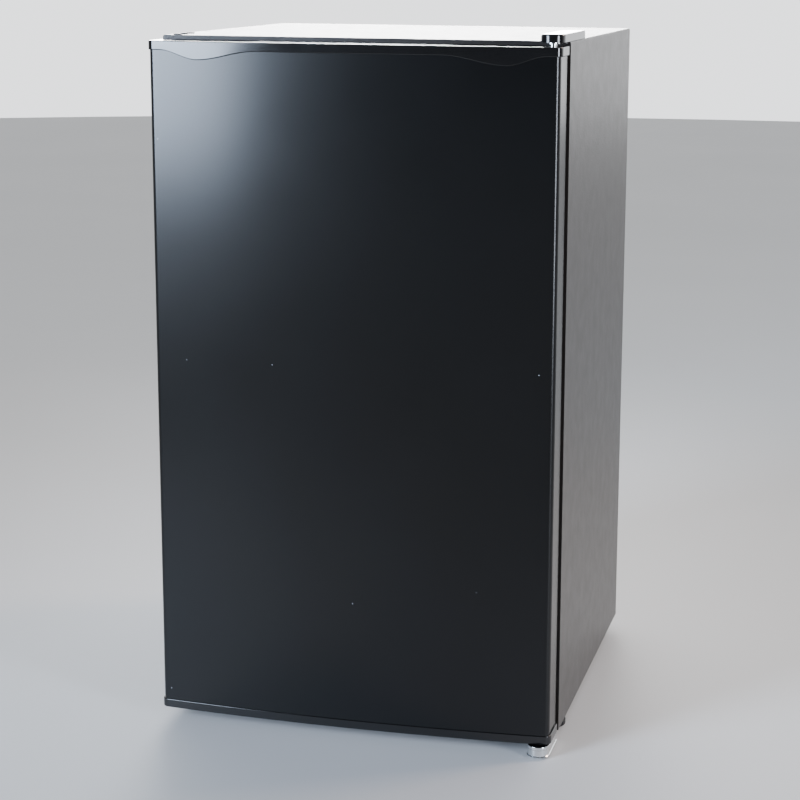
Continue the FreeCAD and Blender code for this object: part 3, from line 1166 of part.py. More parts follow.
def pieces():
    yield "outer_shell", outer_shell()
    yield "front_base_rail", front_base_rail()
    yield "bottom_pan", bottom_pan()
    yield "bay_panel", bay_panel()
    yield "back_panel", back_panel()
    yield "compressor_base_plate", compressor_base_plate()
    yield "cabinet_foam", cabinet_foam()
    yield "inner_liner", inner_liner()
    yield "hinge_reinforcement", hinge_reinforcement()
    yield "top_hinge_plate", top_hinge_plate()
    yield "hinge_screws", hinge_screws()
    yield "hinge_cover", hinge_cover()
    yield "hinge_hole_plugs", hinge_hole_plugs()
    yield "hinge_washers", hinge_washers()
    yield "lower_hinge_bracket", lower_hinge_bracket()
    yield "lower_hinge_pin", lower_hinge_pin()
    yield "front_foot_left", front_foot(-1)
    yield "front_foot_right", front_foot(1)
    yield "foot_nuts", foot_nuts()
    yield "rear_feet", rear_feet()
    yield "door_outer_panel", door_outer_panel()
    yield "door_top_cap", door_top_cap()
    yield "door_bottom_cap", door_bottom_cap()
    yield "door_liner", door_liner()
    yield "door_foam", door_foam()
    yield "door_gasket", door_gasket()
    yield "hinge_bushes", hinge_bushes()
    for name, bottom, height in BIN_LEVELS:
        yield name, door_bin(bottom, height)
    yield "evaporator", evaporator()
    yield "evaporator_hangers", evaporator_hangers()
    yield "freezer_bezel", freezer_bezel()
    yield "freezer_flap", freezer_flap()
    yield "drip_tray", drip_tray()
    for name, level in zip(("lower", "upper"), SHELF_LEVELS):
        yield "glass_shelf_" + name, glass_shelf(level)
        yield "shelf_trims_" + name, shelf_trims(level)
    yield "thermostat_housing", thermostat_housing()
    yield "thermostat", thermostat()
    yield "thermostat_knob", thermostat_knob()
    yield "lamp_cover", lamp_cover()
    yield "lamp_holder", lamp_holder()
    yield "lamp", lamp()
    yield "door_switch", door_switch()
    yield "switch_plunger", switch_plunger()
    yield "compressor", compressor()
    yield "compressor_grommets", compressor_grommets()
    yield "compressor_bolts", compressor_bolts()
    yield "relay_cover", relay_cover()
    yield "suction_tube", suction_tube()
    yield "capillary_tube", capillary_tube()
    yield "tube_grommet", tube_grommet()
    yield "filter_drier", filter_drier()
    yield "discharge_tube", discharge_tube()
    yield "condenser_tube", condenser_tube()
    yield "condenser_wires", condenser_wires()
    yield "condenser_brackets", condenser_brackets()
    yield "cord_grommet", cord_grommet()


os.makedirs("parts", exist_ok=True)
for piece_name, piece_shape in pieces():
    save(piece_name, piece_shape)
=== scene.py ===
# %% [markdown]
# A compact refrigerator, dressed over its packed mechanical model.
# The frame gives every part at its true size and place, in metres. Here each surface gets its finish, and
# the parts whose look depends on soft edges or fine relief are modelled again over their frame part.

# %% Load the frame
import bpy
import json
import math
from mathutils import Matrix, Vector


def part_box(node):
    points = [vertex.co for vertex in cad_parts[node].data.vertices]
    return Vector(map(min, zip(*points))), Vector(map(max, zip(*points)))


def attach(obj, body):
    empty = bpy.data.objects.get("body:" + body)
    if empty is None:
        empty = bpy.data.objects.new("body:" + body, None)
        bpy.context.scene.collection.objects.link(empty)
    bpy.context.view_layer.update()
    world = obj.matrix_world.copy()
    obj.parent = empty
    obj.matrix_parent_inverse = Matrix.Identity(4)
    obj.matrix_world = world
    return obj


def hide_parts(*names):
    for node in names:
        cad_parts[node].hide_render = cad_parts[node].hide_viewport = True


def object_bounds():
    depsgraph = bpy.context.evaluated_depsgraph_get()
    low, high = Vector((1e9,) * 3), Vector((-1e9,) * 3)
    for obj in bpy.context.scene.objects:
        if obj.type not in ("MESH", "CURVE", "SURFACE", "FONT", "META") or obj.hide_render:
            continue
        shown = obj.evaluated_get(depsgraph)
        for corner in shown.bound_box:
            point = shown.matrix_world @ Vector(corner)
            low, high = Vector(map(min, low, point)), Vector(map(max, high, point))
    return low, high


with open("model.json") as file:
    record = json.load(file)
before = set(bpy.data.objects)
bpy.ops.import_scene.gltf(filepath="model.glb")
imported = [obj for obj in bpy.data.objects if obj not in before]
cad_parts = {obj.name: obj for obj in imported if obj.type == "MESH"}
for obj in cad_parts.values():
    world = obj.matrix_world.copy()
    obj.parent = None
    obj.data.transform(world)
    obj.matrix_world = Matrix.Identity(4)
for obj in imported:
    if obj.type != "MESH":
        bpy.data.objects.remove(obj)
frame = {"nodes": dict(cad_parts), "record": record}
cad_low, cad_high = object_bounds()
parts = frame["nodes"]
print("frame box", [round(c, 4) for c in cad_low], [round(c, 4) for c in cad_high], len(parts), "parts")

# %% [markdown]
# Operators act on whatever is selected, so each piece starts with nothing selected.
# Faces and edges are then picked by where they are or which way they face, as a hand would pick them.

# %% Selecting
def mm(value):
    return value / 1000.0


def select_nothing():
    if bpy.context.object is not None and bpy.context.object.mode != "OBJECT":
        bpy.ops.object.mode_set(mode="OBJECT")
    bpy.ops.object.select_all(action="DESELECT")


def make_active(piece):
    select_nothing()
    piece.select_set(True)
    bpy.context.view_layer.objects.active = piece


def pick(piece, kind, wanted):
    """Selects what wanted(place, direction) is true for, and stays in edit mode."""
    make_active(piece)
    bpy.ops.object.mode_set(mode="EDIT")
    bpy.ops.mesh.select_mode(type=kind)
    bpy.ops.mesh.select_all(action="DESELECT")
    bpy.ops.object.mode_set(mode="OBJECT")
    mesh = piece.data
    if kind == "VERT":
        for v in mesh.vertices:
            v.select = bool(wanted(v.co, v.normal))
    elif kind == "EDGE":
        for e in mesh.edges:
            a, b = (mesh.vertices[i].co for i in e.vertices)
            e.select = bool(wanted((a + b) / 2, (b - a).normalized()))
    else:
        for f in mesh.polygons:
            f.select = bool(wanted(f.center, f.normal))
    bpy.ops.object.mode_set(mode="EDIT")


def leave_edit():
    bpy.ops.object.mode_set(mode="OBJECT")


def near(a, b, within=0.00005):
    return abs(a - b) < within


# %% [markdown]
# A primitive is added at its size and place, and its transform is applied straight away.
# Edges are softened and walls thickened with modifiers, which are applied too, so a finished piece is plain
# mesh.

# %% Starting shapes
def start_block(name, low, high):
    select_nothing()
    middle = [(a + b) / 2 for a, b in zip(low, high)]
    bpy.ops.mesh.primitive_cube_add(size=1.0, location=middle)
    piece = bpy.context.object
    piece.name = name
    piece.scale = [b - a for a, b in zip(low, high)]
    bpy.ops.object.transform_apply(location=True, rotation=True, scale=True)
    return piece


def start_rod(name, start, end, radius, sides=48):
    select_nothing()
    start, end = Vector(start), Vector(end)
    way = end - start
    bpy.ops.mesh.primitive_cylinder_add(vertices=sides, radius=radius, depth=way.length,
                                        location=(start + end) / 2)
    piece = bpy.context.object
    piece.name = name
    piece.rotation_euler = way.to_track_quat("Z", "Y").to_euler()
    bpy.ops.object.transform_apply(location=True, rotation=True, scale=True)
    return piece


def apply_modifier(piece, kind, **settings):
    make_active(piece)
    modifier = piece.modifiers.new(kind.title(), kind)
    for key, value in settings.items():
        setattr(modifier, key, value)
    bpy.ops.object.modifier_apply(modifier=modifier.name)


def soften(piece, width, segments=3, angle=35.0):
    apply_modifier(piece, "BEVEL", width=width, segments=segments, limit_method="ANGLE",
                   angle_limit=math.radians(angle), use_clamp_overlap=True, harden_normals=False)


def cut_with(piece, tool):
    apply_modifier(piece, "BOOLEAN", operation="DIFFERENCE", object=tool, solver="EXACT")
    bpy.data.objects.remove(tool)


def join(name, first, *others):
    make_active(first)
    for other in others:
        other.select_set(True)
    bpy.ops.object.join()
    first.name = name
    return first


def copy_of(piece, name):
    twin = piece.copy()
    twin.data = piece.data.copy()
    twin.name = name
    bpy.context.scene.collection.objects.link(twin)
    return twin


def merged_copy(node, name):
    """The frame part's own shape as one welded skin, to be softened."""
    piece = bpy.data.objects.new(name, parts[node].data.copy())
    bpy.context.scene.collection.objects.link(piece)
    make_active(piece)
    piece.data.materials.clear()
    bpy.ops.mesh.customdata_custom_splitnormals_clear()
    bpy.ops.object.mode_set(mode="EDIT")
    bpy.ops.mesh.select_all(action="SELECT")
    bpy.ops.mesh.remove_doubles(threshold=0.00001)
    bpy.ops.mesh.dissolve_limited(angle_limit=math.radians(0.3))
    leave_edit()
    return piece


def hand_over(piece, body, slot, finish, *nodes, angle=40.0):
    """A finished piece: smooth where it is round, painted, and tied to the body that carries it."""
    make_active(piece)
    bpy.ops.object.transform_apply(location=True, rotation=True, scale=True)
    piece.data.materials.clear()
    piece.data.materials.append(finish)
    bpy.ops.object.shade_smooth_by_angle(angle=math.radians(angle))
    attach(piece, body)
    if nodes:
        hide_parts(*nodes)
    print(piece.name, len(piece.data.polygons), "faces")


# %% [markdown]
# Colours are written as the eye sees them, in hex, and turned to linear light in one place.
# One function adds a shader node with its settings and its links, and every finish is built from that.

# %% Colour and nodes
def colour(code):
    channels = [int(code[i:i + 2], 16) / 255.0 for i in (1, 3, 5)]
    return [c / 12.92 if c <= 0.04045 else ((c + 0.055) / 1.055) ** 2.4 for c in channels] + [1.0]


def put(tree, kind, settings=None, links=None):
    made = tree.nodes.new(kind)
    for key, value in (settings or {}).items():
        if isinstance(key, str) and hasattr(made, key):
            setattr(made, key, value)
        else:
            made.inputs[key].default_value = value
    for key, source in (links or {}).items():
        tree.links.new(source, made.inputs[key])
    return made


def new_finish(name, **shader_settings):
    """A material with its shader set, and object coordinates ready for a pattern."""
    material = bpy.data.materials.new(name)
    material.use_nodes = True
    tree = material.node_tree
    tree.nodes.clear()
    shader = put(tree, "ShaderNodeBsdfPrincipled", shader_settings)
    put(tree, "ShaderNodeOutputMaterial", {}, {"Surface": shader.outputs["BSDF"]})
    place = put(tree, "ShaderNodeTexCoord").outputs["Object"]
    return material, tree, shader, place


def per_metre(size_mm):
    return 1000.0 / size_mm


# %% [markdown]
# The camera stands in front and to the right, a little above the top, with a long lens.
# The object was framed with a slight shift of the lens, so its uprights stay nearly parallel.

# %% Camera
SENSOR, LENS = 36.0, 87.65
YAW, PITCH, ROLL = (math.radians(a) for a in (13.733, 11.426, 0.376))
ahead = Vector((-math.sin(YAW) * math.cos(PITCH), math.cos(YAW) * math.cos(PITCH), -math.sin(PITCH)))
right = Vector((math.cos(YAW), math.sin(YAW), 0.0))
up = right.cross(ahead)
tilted_right = right * math.cos(ROLL) + up * math.sin(ROLL)
tilted_up = up * math.cos(ROLL) - right * math.sin(ROLL)

camera_data = bpy.data.cameras.new("camera")
camera_data.sensor_width, camera_data.lens = SENSOR, LENS
camera_data.shift_x, camera_data.shift_y = -0.0618, -0.0623
camera = bpy.data.objects.new("camera", camera_data)
bpy.context.scene.collection.objects.link(camera)
camera.matrix_world = Matrix.Translation((0.6274, -2.3256, 0.9109)) @ Matrix(
    (tilted_right, tilted_up, -ahead)).transposed().to_4x4()
bpy.context.scene.camera = camera
print("camera", [round(c, 3) for c in camera.location], "lens", LENS)

# %% [markdown]
# Black enamel shows little but what it mirrors, so the lights are placed for their reflections.
# A tall cool softbox to the left gives the door its pale fading sheen, and a narrow one to the right draws the
# bright line down the door's round corner. The white sweep of the room and a low wide lamp lie behind the
# object for the top and the side, and the room in front stays dim, which leaves the door's middle black.

# %% Room and lights
world = bpy.data.worlds.new("studio")
bpy.context.scene.world = world
world.use_nodes = True
room = world.node_tree
room.nodes.clear()
way = put(room, "ShaderNodeTexCoord").outputs["Generated"]
split = put(room, "ShaderNodeSeparateXYZ", {}, {"Vector": way})
behind = put(room, "ShaderNodeMapRange", {"interpolation_type": "SMOOTHSTEP", "From Min": 0.0,
             "From Max": 0.9, "To Min": 0.11, "To Max": 2.3}, {"Value": split.outputs["Y"]})
light = put(room, "ShaderNodeBackground", {"Color": colour("#f6f8fb")}, {"Strength": behind.outputs["Result"]})
put(room, "ShaderNodeOutputWorld", {}, {"Surface": light.outputs["Background"]})


def softbox(name, place, aim, width, height, watts, tint, spread=180.0):
    data = bpy.data.lights.new(name, "AREA")
    data.shape, data.size, data.size_y = "RECTANGLE", width, height
    data.energy, data.color = watts, colour(tint)[:3]
    data.spread = math.radians(spread)
    lamp = bpy.data.objects.new(name, data)
    bpy.context.scene.collection.objects.link(lamp)
    lamp.location = place
    lamp.rotation_euler = (Vector(aim) - Vector(place)).to_track_quat("-Z", "Y").to_euler()
    return lamp


softbox("left_softbox", (-1.56, -2.1, 1.06), (-0.2, -0.25, 0.66), 1.0, 1.25, 21.5, "#d3e4fb", 56.0)
softbox("overhead_softbox", (0.0, 1.3, 2.7), (0.0, 0.9, 0.0), 2.2, 2.2, 14.0, "#ffffff")
softbox("right_softbox", (2.2, 1.2, 1.9), (0.2, 0.0, 0.85), 0.8, 0.9, 9.0, "#ffdfc9", 80.0)
softbox("edge_softbox", (2.1, -1.35, 0.75), (0.25, -0.2, 0.5), 0.55, 1.3, 7.0, "#e6eefb", 50.0)
back_lamp = softbox("back_softbox", (-1.0, 3.6, 1.35), (-0.05, 0.1, 0.83), 2.0, 1.0, 9.0, "#ffffff", 40.0)
back_lamp.visible_camera = False

# %% [markdown]
# The floor is one large disc of matt pale paint, so large that its edge only shows as a far horizon.
# Two close greys drift over it. It lies just under the feet.

# %% Floor
FLOOR_RADIUS, UNDER_FEET = 9.0, mm(0.4)
select_nothing()
bpy.ops.mesh.primitive_circle_add(vertices=96, radius=FLOOR_RADIUS, fill_type="NGON",
                                  location=(0, 0, -UNDER_FEET))
floor = bpy.context.object
floor.name = "floor"
bpy.ops.object.transform_apply(location=True)
floor_paint, tree, shader, place = new_finish("matt_pale_floor_paint", **{"Roughness": 0.6})
cloud = put(tree, "ShaderNodeTexNoise", {"Scale": 1.3, "Detail": 2.0}, {"Vector": place})
mix = put(tree, "ShaderNodeMix", {"data_type": "RGBA", 6: colour("#cdcecf"), 7: colour("#d7d7d8")},
          {"Factor": cloud.outputs["Fac"]})
tree.links.new(mix.outputs[2], shader.inputs["Base Color"])
floor.data.materials.append(floor_paint)
print("floor", round(floor.dimensions.x, 2), "m across")

# %% [markdown]
# Most finishes need three things over a plain colour: a fine relief, a slow change of gloss, and two close
# tones. Each is made from noise whose grain is given in real millimetres.

# %% Relief, tone and gloss
def fine_relief(tree, shader, place, size_mm, depth_mm, detail=2.0):
    grain = put(tree, "ShaderNodeTexNoise", {"Scale": per_metre(size_mm), "Detail": detail}, {"Vector": place})
    bump = put(tree, "ShaderNodeBump", {"Strength": 1.0, "Distance": mm(depth_mm)},
               {"Height": grain.outputs["Fac"]})
    tree.links.new(bump.outputs["Normal"], shader.inputs["Normal"])


def two_tones(tree, shader, place, size_mm, first, second):
    cloud = put(tree, "ShaderNodeTexNoise", {"Scale": per_metre(size_mm), "Detail": 3.0}, {"Vector": place})
    tone = put(tree, "ShaderNodeMix", {"data_type": "RGBA", 6: colour(first), 7: colour(second)},
               {"Factor": cloud.outputs["Fac"]})
    tree.links.new(tone.outputs[2], shader.inputs["Base Color"])
    return tone


def uneven_gloss(tree, shader, place, size_mm, low, high):
    cloud = put(tree, "ShaderNodeTexNoise", {"Scale": per_metre(size_mm), "Detail": 2.0}, {"Vector": place})
    gloss = put(tree, "ShaderNodeMapRange", {"From Min": 0.3, "From Max": 0.7, "To Min": low, "To Max": high},
                {"Value": cloud.outputs["Fac"]})
    tree.links.new(gloss.outputs["Result"], shader.inputs["Roughness"])


finishes = {}

# %% [markdown]
# The door is steel sprayed with black polyester enamel and baked. It is smooth but not a mirror: a faint
# orange peel of about 3 mm breaks up reflections, and a few grains of dust catch the light.

# %% Baked black enamel, smooth
enamel, tree, shader, place = new_finish("baked_black_enamel_smooth", **{"IOR": 1.43})
fine_relief(tree, shader, place, 3.0, 0.004)
uneven_gloss(tree, shader, place, 140.0, 0.2, 0.215)
film = two_tones(tree, shader, place, 90.0, "#040506", "#07080a")
cells = put(tree, "ShaderNodeTexVoronoi", {"Scale": per_metre(46.0)}, {"Vector": place})
grit = put(tree, "ShaderNodeMapRange", {"From Min": 0.012, "From Max": 0.02, "To Min": 1.0, "To Max": 0.0},
           {"Value": cells.outputs["Distance"]})
dust = put(tree, "ShaderNodeMix", {"data_type": "RGBA", 7: colour("#8d9095")},
           {"Factor": grit.outputs["Result"], 6: film.outputs[2]})
tree.links.new(dust.outputs[2], shader.inputs["Base Color"])
finishes["door_paint"] = enamel

# %% [markdown]
# The cabinet's wrap is the same steel with a leather-grain lacquer: small raised pebbles, drawn here at 2.4 mm,
# that scatter the light and turn the black to a warm grey where it glances off.

# %% Leather-grain lacquer
leather, tree, shader, place = new_finish("leather_grain_black_lacquer", **{"IOR": 1.4, "Sheen Weight": 0.04,
                                          "Sheen Roughness": 0.5})
pebbles = put(tree, "ShaderNodeTexVoronoi", {"feature": "SMOOTH_F1", "Scale": per_metre(2.4),
              "Smoothness": 0.5}, {"Vector": place})
creases = put(tree, "ShaderNodeTexNoise", {"Scale": per_metre(5.0), "Detail": 3.0}, {"Vector": place})
heights = put(tree, "ShaderNodeMath", {"operation": "ADD"}, {0: pebbles.outputs["Distance"],
              1: creases.outputs["Fac"]})
skin = put(tree, "ShaderNodeBump", {"Strength": 1.0, "Distance": mm(0.1)}, {"Height": heights.outputs["Value"]})
tree.links.new(skin.outputs["Normal"], shader.inputs["Normal"])
uneven_gloss(tree, shader, place, 24.0, 0.31, 0.35)
two_tones(tree, shader, place, 70.0, "#181412", "#201b19")
finishes["shell_paint"] = leather

# %% [markdown]
# Moulded plastics differ in gloss and in the spark-eroded texture of their mould. The door's caps and the hinge
# cover are black ABS with a polished face; the foot, relay box and grommet plastics are duller.

# %% Moulded plastics
def moulded_plastic(name, first, second, low, high, grain_mm, depth_mm, **more):
    plastic, tree, shader, place = new_finish(name, **{"IOR": 1.54, **more})
    fine_relief(tree, shader, place, grain_mm, depth_mm)
    uneven_gloss(tree, shader, place, 35.0, low, high)
    two_tones(tree, shader, place, 60.0, first, second)
    return plastic


finishes["cap_plastic"] = moulded_plastic("polished_black_abs", "#0a0a0b", "#101011", 0.11, 0.14, 2.5, 0.002)
finishes["black_plastic"] = moulded_plastic("textured_black_pbt", "#121213", "#1a1a1b", 0.42, 0.55, 0.9, 0.03)
finishes["grey_foot_plastic"] = moulded_plastic("grey_polypropylene", "#8f9193", "#a3a5a6", 0.4, 0.5, 1.2, 0.02)
finishes["bush_plastic"] = moulded_plastic("white_acetal", "#dcdad2", "#e6e4dd", 0.3, 0.38, 1.2, 0.01)
finishes["white_plastic"] = moulded_plastic("white_abs_satin", "#dfe0df", "#e9eae9", 0.3, 0.38, 1.0, 0.01,
                                            **{"Subsurface Weight": 0.05, "Subsurface Scale": 0.002})
finishes["liner_plastic"] = moulded_plastic("vacuum_formed_white_polystyrene", "#e2e4e4", "#eceded", 0.32, 0.42,
                                            4.0, 0.02, **{"Subsurface Weight": 0.06, "Subsurface Scale": 0.003})

# %% [markdown]
# The bins are injected in crystal polystyrene with a frosted face, so what stands in them shows as a shadow.
# Clear parts and glass let light through, with the slight green that iron gives to tempered shelf glass.

# %% Clear plastics and glass
def see_through(name, tint, low, high, ior, through, relief_mm):
    clear, tree, shader, place = new_finish(name, **{"IOR": ior, "Transmission Weight": through})
    fine_relief(tree, shader, place, 6.0, relief_mm)
    uneven_gloss(tree, shader, place, 50.0, low, high)
    two_tones(tree, shader, place, 80.0, tint, "#f8fbfa")
    return clear


finishes["bin_plastic"] = see_through("frosted_crystal_polystyrene", "#ebf3f4", 0.25, 0.28, 1.59, 0.62, 0.006)
finishes["clear_plastic"] = see_through("clear_prismatic_polystyrene", "#f2f6f5", 0.08, 0.14, 1.59, 0.9, 0.04)
finishes["shelf_glass"] = see_through("tempered_shelf_glass", "#d5ebe2", 0.02, 0.05, 1.52, 0.96, 0.003)
finishes["lamp_glass"] = see_through("thin_lamp_glass", "#fbf7ea", 0.04, 0.08, 1.5, 0.75, 0.004)

# %% [markdown]
# The gasket is plasticised PVC, dull and slightly oily. The compressor's mounts are darker, grainier rubber.

# %% Rubber
finishes["gasket_rubber"] = moulded_plastic("soft_grey_pvc_gasket", "#232425", "#2d2e2f", 0.5, 0.62, 1.5, 0.02)
finishes["black_rubber"] = moulded_plastic("vulcanised_black_rubber", "#111111", "#1b1a1a", 0.62, 0.78,
                                           0.8, 0.05)

# %% [markdown]
# The rear panels are hot-dip galvanised, whose zinc freezes in angular spangles. Voronoi cells of about 9 mm
# give each spangle its own tone and gloss, and a finer noise dulls them.

# %% Galvanised sheet
galvanised, tree, shader, place = new_finish("hot_dip_galvanised_sheet", Metallic=1.0)
spangle = put(tree, "ShaderNodeTexVoronoi", {"Scale": per_metre(9.0), "Randomness": 1.0}, {"Vector": place})
facet = put(tree, "ShaderNodeSeparateColor", {}, {"Color": spangle.outputs["Color"]})
tone = put(tree, "ShaderNodeMix", {"data_type": "RGBA", 6: colour("#9fa4a7"), 7: colour("#c3c8ca")},
           {"Factor": facet.outputs["Red"]})
tree.links.new(tone.outputs[2], shader.inputs["Base Color"])
gloss = put(tree, "ShaderNodeMapRange", {"To Min": 0.3, "To Max": 0.52}, {"Value": facet.outputs["Green"]})
tree.links.new(gloss.outputs["Result"], shader.inputs["Roughness"])
frost = put(tree, "ShaderNodeTexNoise", {"Scale": per_metre(1.6), "Detail": 4.0}, {"Vector": place})
dull = put(tree, "ShaderNodeBump", {"Strength": 1.0, "Distance": mm(0.02)}, {"Height": frost.outputs["Fac"]})
tree.links.new(dull.outputs["Normal"], shader.inputs["Normal"])
finishes["galvanised_sheet"] = galvanised

# %% [markdown]
# Hinge parts are pressed steel plated with bright zinc, nearly a mirror with fine tumbling marks; nuts, screws
# and pins are duller. The evaporator is roll-bonded aluminium with the long scratches of the rolls.

# %% Plated steel, aluminium and copper
def plated(name, first, second, low, high, grain_mm, depth_mm, stretch=(1.0, 1.0, 1.0)):
    metal, tree, shader, place = new_finish(name, Metallic=1.0)
    drawn = put(tree, "ShaderNodeMapping", {"Scale": stretch}, {"Vector": place}).outputs["Vector"]
    fine_relief(tree, shader, drawn, grain_mm, depth_mm, 3.0)
    uneven_gloss(tree, shader, drawn, grain_mm * 6, low, high)
    two_tones(tree, shader, place, 18.0, first, second)
    return metal


finishes["bright_zinc"] = plated("bright_zinc_plate", "#d3d6d8", "#e4e6e7", 0.12, 0.22, 1.4, 0.01)
finishes["zinc_steel"] = plated("dull_zinc_plate", "#b3b3ac", "#c6c5bb", 0.28, 0.4, 1.0, 0.02)
finishes["roll_bond_aluminium"] = plated("rolled_aluminium", "#c2c6c8", "#d2d5d7", 0.3, 0.42, 0.8, 0.012,
                                         (1.0, 0.08, 1.0))
finishes["copper_tube"] = plated("drawn_copper_tarnished", "#a4613f", "#c98560", 0.24, 0.38, 1.2, 0.015)

# %% [markdown]
# The compressor is dipped in black stoving enamel that pools and shines; the condenser gets a thinner, duller
# coat. The insulation is sprayed polyurethane, a pale amber foam with an open skin, seen only at its edges.

# %% Black stoving enamel and foam
finishes["compressor_enamel"] = moulded_plastic("stoved_black_enamel", "#0d0d0e", "#161617", 0.2, 0.34,
                                                5.0, 0.03)
finishes["condenser_enamel"] = moulded_plastic("dipped_black_lacquer", "#131313", "#1e1e1e", 0.36, 0.5,
                                               1.5, 0.03)
finishes["foam"] = moulded_plastic("sprayed_polyurethane_foam", "#c9b27a", "#dcc994", 0.8, 0.92, 2.2, 0.3)

# %% [markdown]
# The record names a finish for every frame part. Parts whose shape is right keep it and only change material,
# and the pieces modelled below take their finish by the same names.

# %% Every frame part takes its finish
record = frame["record"]
slot_of = {piece["node"]: piece["material_slot"] for piece in record["subparts"]}
for node_name, part in parts.items():
    for place_for in part.material_slots:
        place_for.material = finishes[slot_of[node_name]]
print(len(finishes), "finishes on", len(parts), "parts")

# %% [markdown]
# The door's plan is a shallow bow with round corners and straight sides. It is drawn the way a sheet is
# folded: one upright edge is spun along the bow, then round each corner, then drawn straight back.

# %% The door's plan
skin_low, skin_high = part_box("door_outer_panel")
cap_low, cap_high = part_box("door_top_cap")
bottom_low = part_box("door_bottom_cap")[0]
DOOR_REAR = skin_high.y
HALF = cap_high.x
BOW = mm(10.0)
CORNER = mm(9.0)
BOW_RADIUS = (HALF ** 2 + BOW ** 2) / (2 * BOW)
BOW_CENTRE = cap_low.y + BOW_RADIUS


def bowed_sheet(name, side_inset, front_inset, low, high, columns=96):
    """An upright sheet along the door's front, corners and sides, open behind."""
    bow, corner = BOW_RADIUS - front_inset, max(CORNER - side_inset, mm(1.0))
    corner_x = HALF - side_inset - corner
    corner_y = BOW_CENTRE - math.sqrt((bow - corner) ** 2 - corner_x ** 2)
    swing = math.asin(corner_x / (bow - corner))
    start = Vector((-bow * math.sin(swing), BOW_CENTRE - bow * math.cos(swing)))
    select_nothing()
    bpy.ops.mesh.primitive_plane_add(size=1.0, location=(start.x - 0.5, start.y, (low + high) / 2),
                                     rotation=(math.pi / 2, 0, 0))
    sheet = bpy.context.object
    sheet.name = name
    sheet.scale.y = high - low
    bpy.ops.object.transform_apply(location=True, rotation=True, scale=True)
    pick(sheet, "VERT", lambda place, way: place.x < start.x - 0.1)
    bpy.ops.mesh.delete(type="VERT")
    bpy.ops.mesh.select_all(action="SELECT")
    bpy.ops.mesh.spin(steps=columns, angle=-2 * swing, center=(0, BOW_CENTRE, 0), axis=(0, 0, 1))
    for side in (1, -1):
        pick(sheet, "EDGE", lambda place, way: near(place.x, side * -start.x) and abs(way.z) > 0.9)
        bpy.ops.mesh.spin(steps=10, angle=side * -(math.pi / 2 - swing),
                          center=(side * corner_x, corner_y, 0), axis=(0, 0, 1))
        pick(sheet, "EDGE", lambda place, way: near(place.x, side * (HALF - side_inset)) and abs(way.z) > 0.9)
        bpy.ops.mesh.extrude_region_move(TRANSFORM_OT_translate={"value": (0, DOOR_REAR - corner_y, 0)})
    leave_edit()
    return sheet


def face_outwards(piece):
    make_active(piece)
    bpy.ops.object.mode_set(mode="EDIT")
    bpy.ops.mesh.select_all(action="SELECT")
    bpy.ops.mesh.remove_doubles(threshold=0.00001)
    bpy.ops.mesh.normals_make_consistent(inside=False)
    leave_edit()
    front = min(piece.data.polygons, key=lambda f: f.center.y)
    if front.normal.y > 0:
        bpy.ops.object.mode_set(mode="EDIT")
        bpy.ops.mesh.select_all(action="SELECT")
        bpy.ops.mesh.flip_normals()
        leave_edit()


# %% [markdown]
# The steel skin turns 10 mm onto the door's rear face on both sides, and gets its 0.8 mm thickness at the end.

# %% Door skin
door_skin = bowed_sheet("door_skin", mm(2.0), mm(1.2), skin_low.z, skin_high.z)
for side in (1, -1):
    pick(door_skin, "EDGE", lambda place, way: near(place.x, side * (HALF - mm(2.0)))
         and near(place.y, DOOR_REAR) and abs(way.z) > 0.9)
    bpy.ops.mesh.extrude_region_move(TRANSFORM_OT_translate={"value": (-side * mm(10.0), 0, 0)})
    leave_edit()
face_outwards(door_skin)
soften(door_skin, mm(0.8), 3, 60.0)
apply_modifier(door_skin, "SOLIDIFY", thickness=mm(0.8), offset=-1.0)
hand_over(door_skin, "door", "door_paint", finishes["door_paint"], "door_outer_panel", angle=30.0)
apply_modifier(door_skin, "WEIGHTED_NORMAL", keep_sharp=True)

# %% [markdown]
# The top cap is a skirt over the skin's upper end and a plate across the top. Its lower edge dips in a wave
# near each end, where the finger scoops lie behind it. The wave is drawn by lowering the rim's points one
# column at a time along a smooth curve, so the skirt stays in clean upright strips.

# %% Top cap
SKIRT = mm(10.5)
WAVE_DIP, WAVE_START, WAVE_LOWEST, WAVE_END = mm(10.5), mm(16.0), mm(61.0), mm(132.0)


def wave_drop(x):
    from_end = HALF - abs(x)
    if from_end < WAVE_START or from_end > WAVE_END:
        return 0.0
    if from_end < WAVE_LOWEST:
        share = (from_end - WAVE_START) / (WAVE_LOWEST - WAVE_START)
    else:
        share = (WAVE_END - from_end) / (WAVE_END - WAVE_LOWEST)
    return WAVE_DIP * share * share * (3 - 2 * share)


def turn_rim_in(piece, on_rim):
    """Fold a sheet's free edge 1.2 mm inwards, so that it can be rounded and leaves a dark seam."""
    pick(piece, "EDGE", on_rim)
    bpy.ops.mesh.extrude_region_move(TRANSFORM_OT_translate={"value": (0, 0, 0)})
    bpy.ops.transform.resize(value=(1 - mm(1.2) / HALF, 1 - mm(1.2) / (DOOR_REAR - cap_low.y), 1.0),
                             center_override=(0, DOOR_REAR, 0))
    leave_edit()


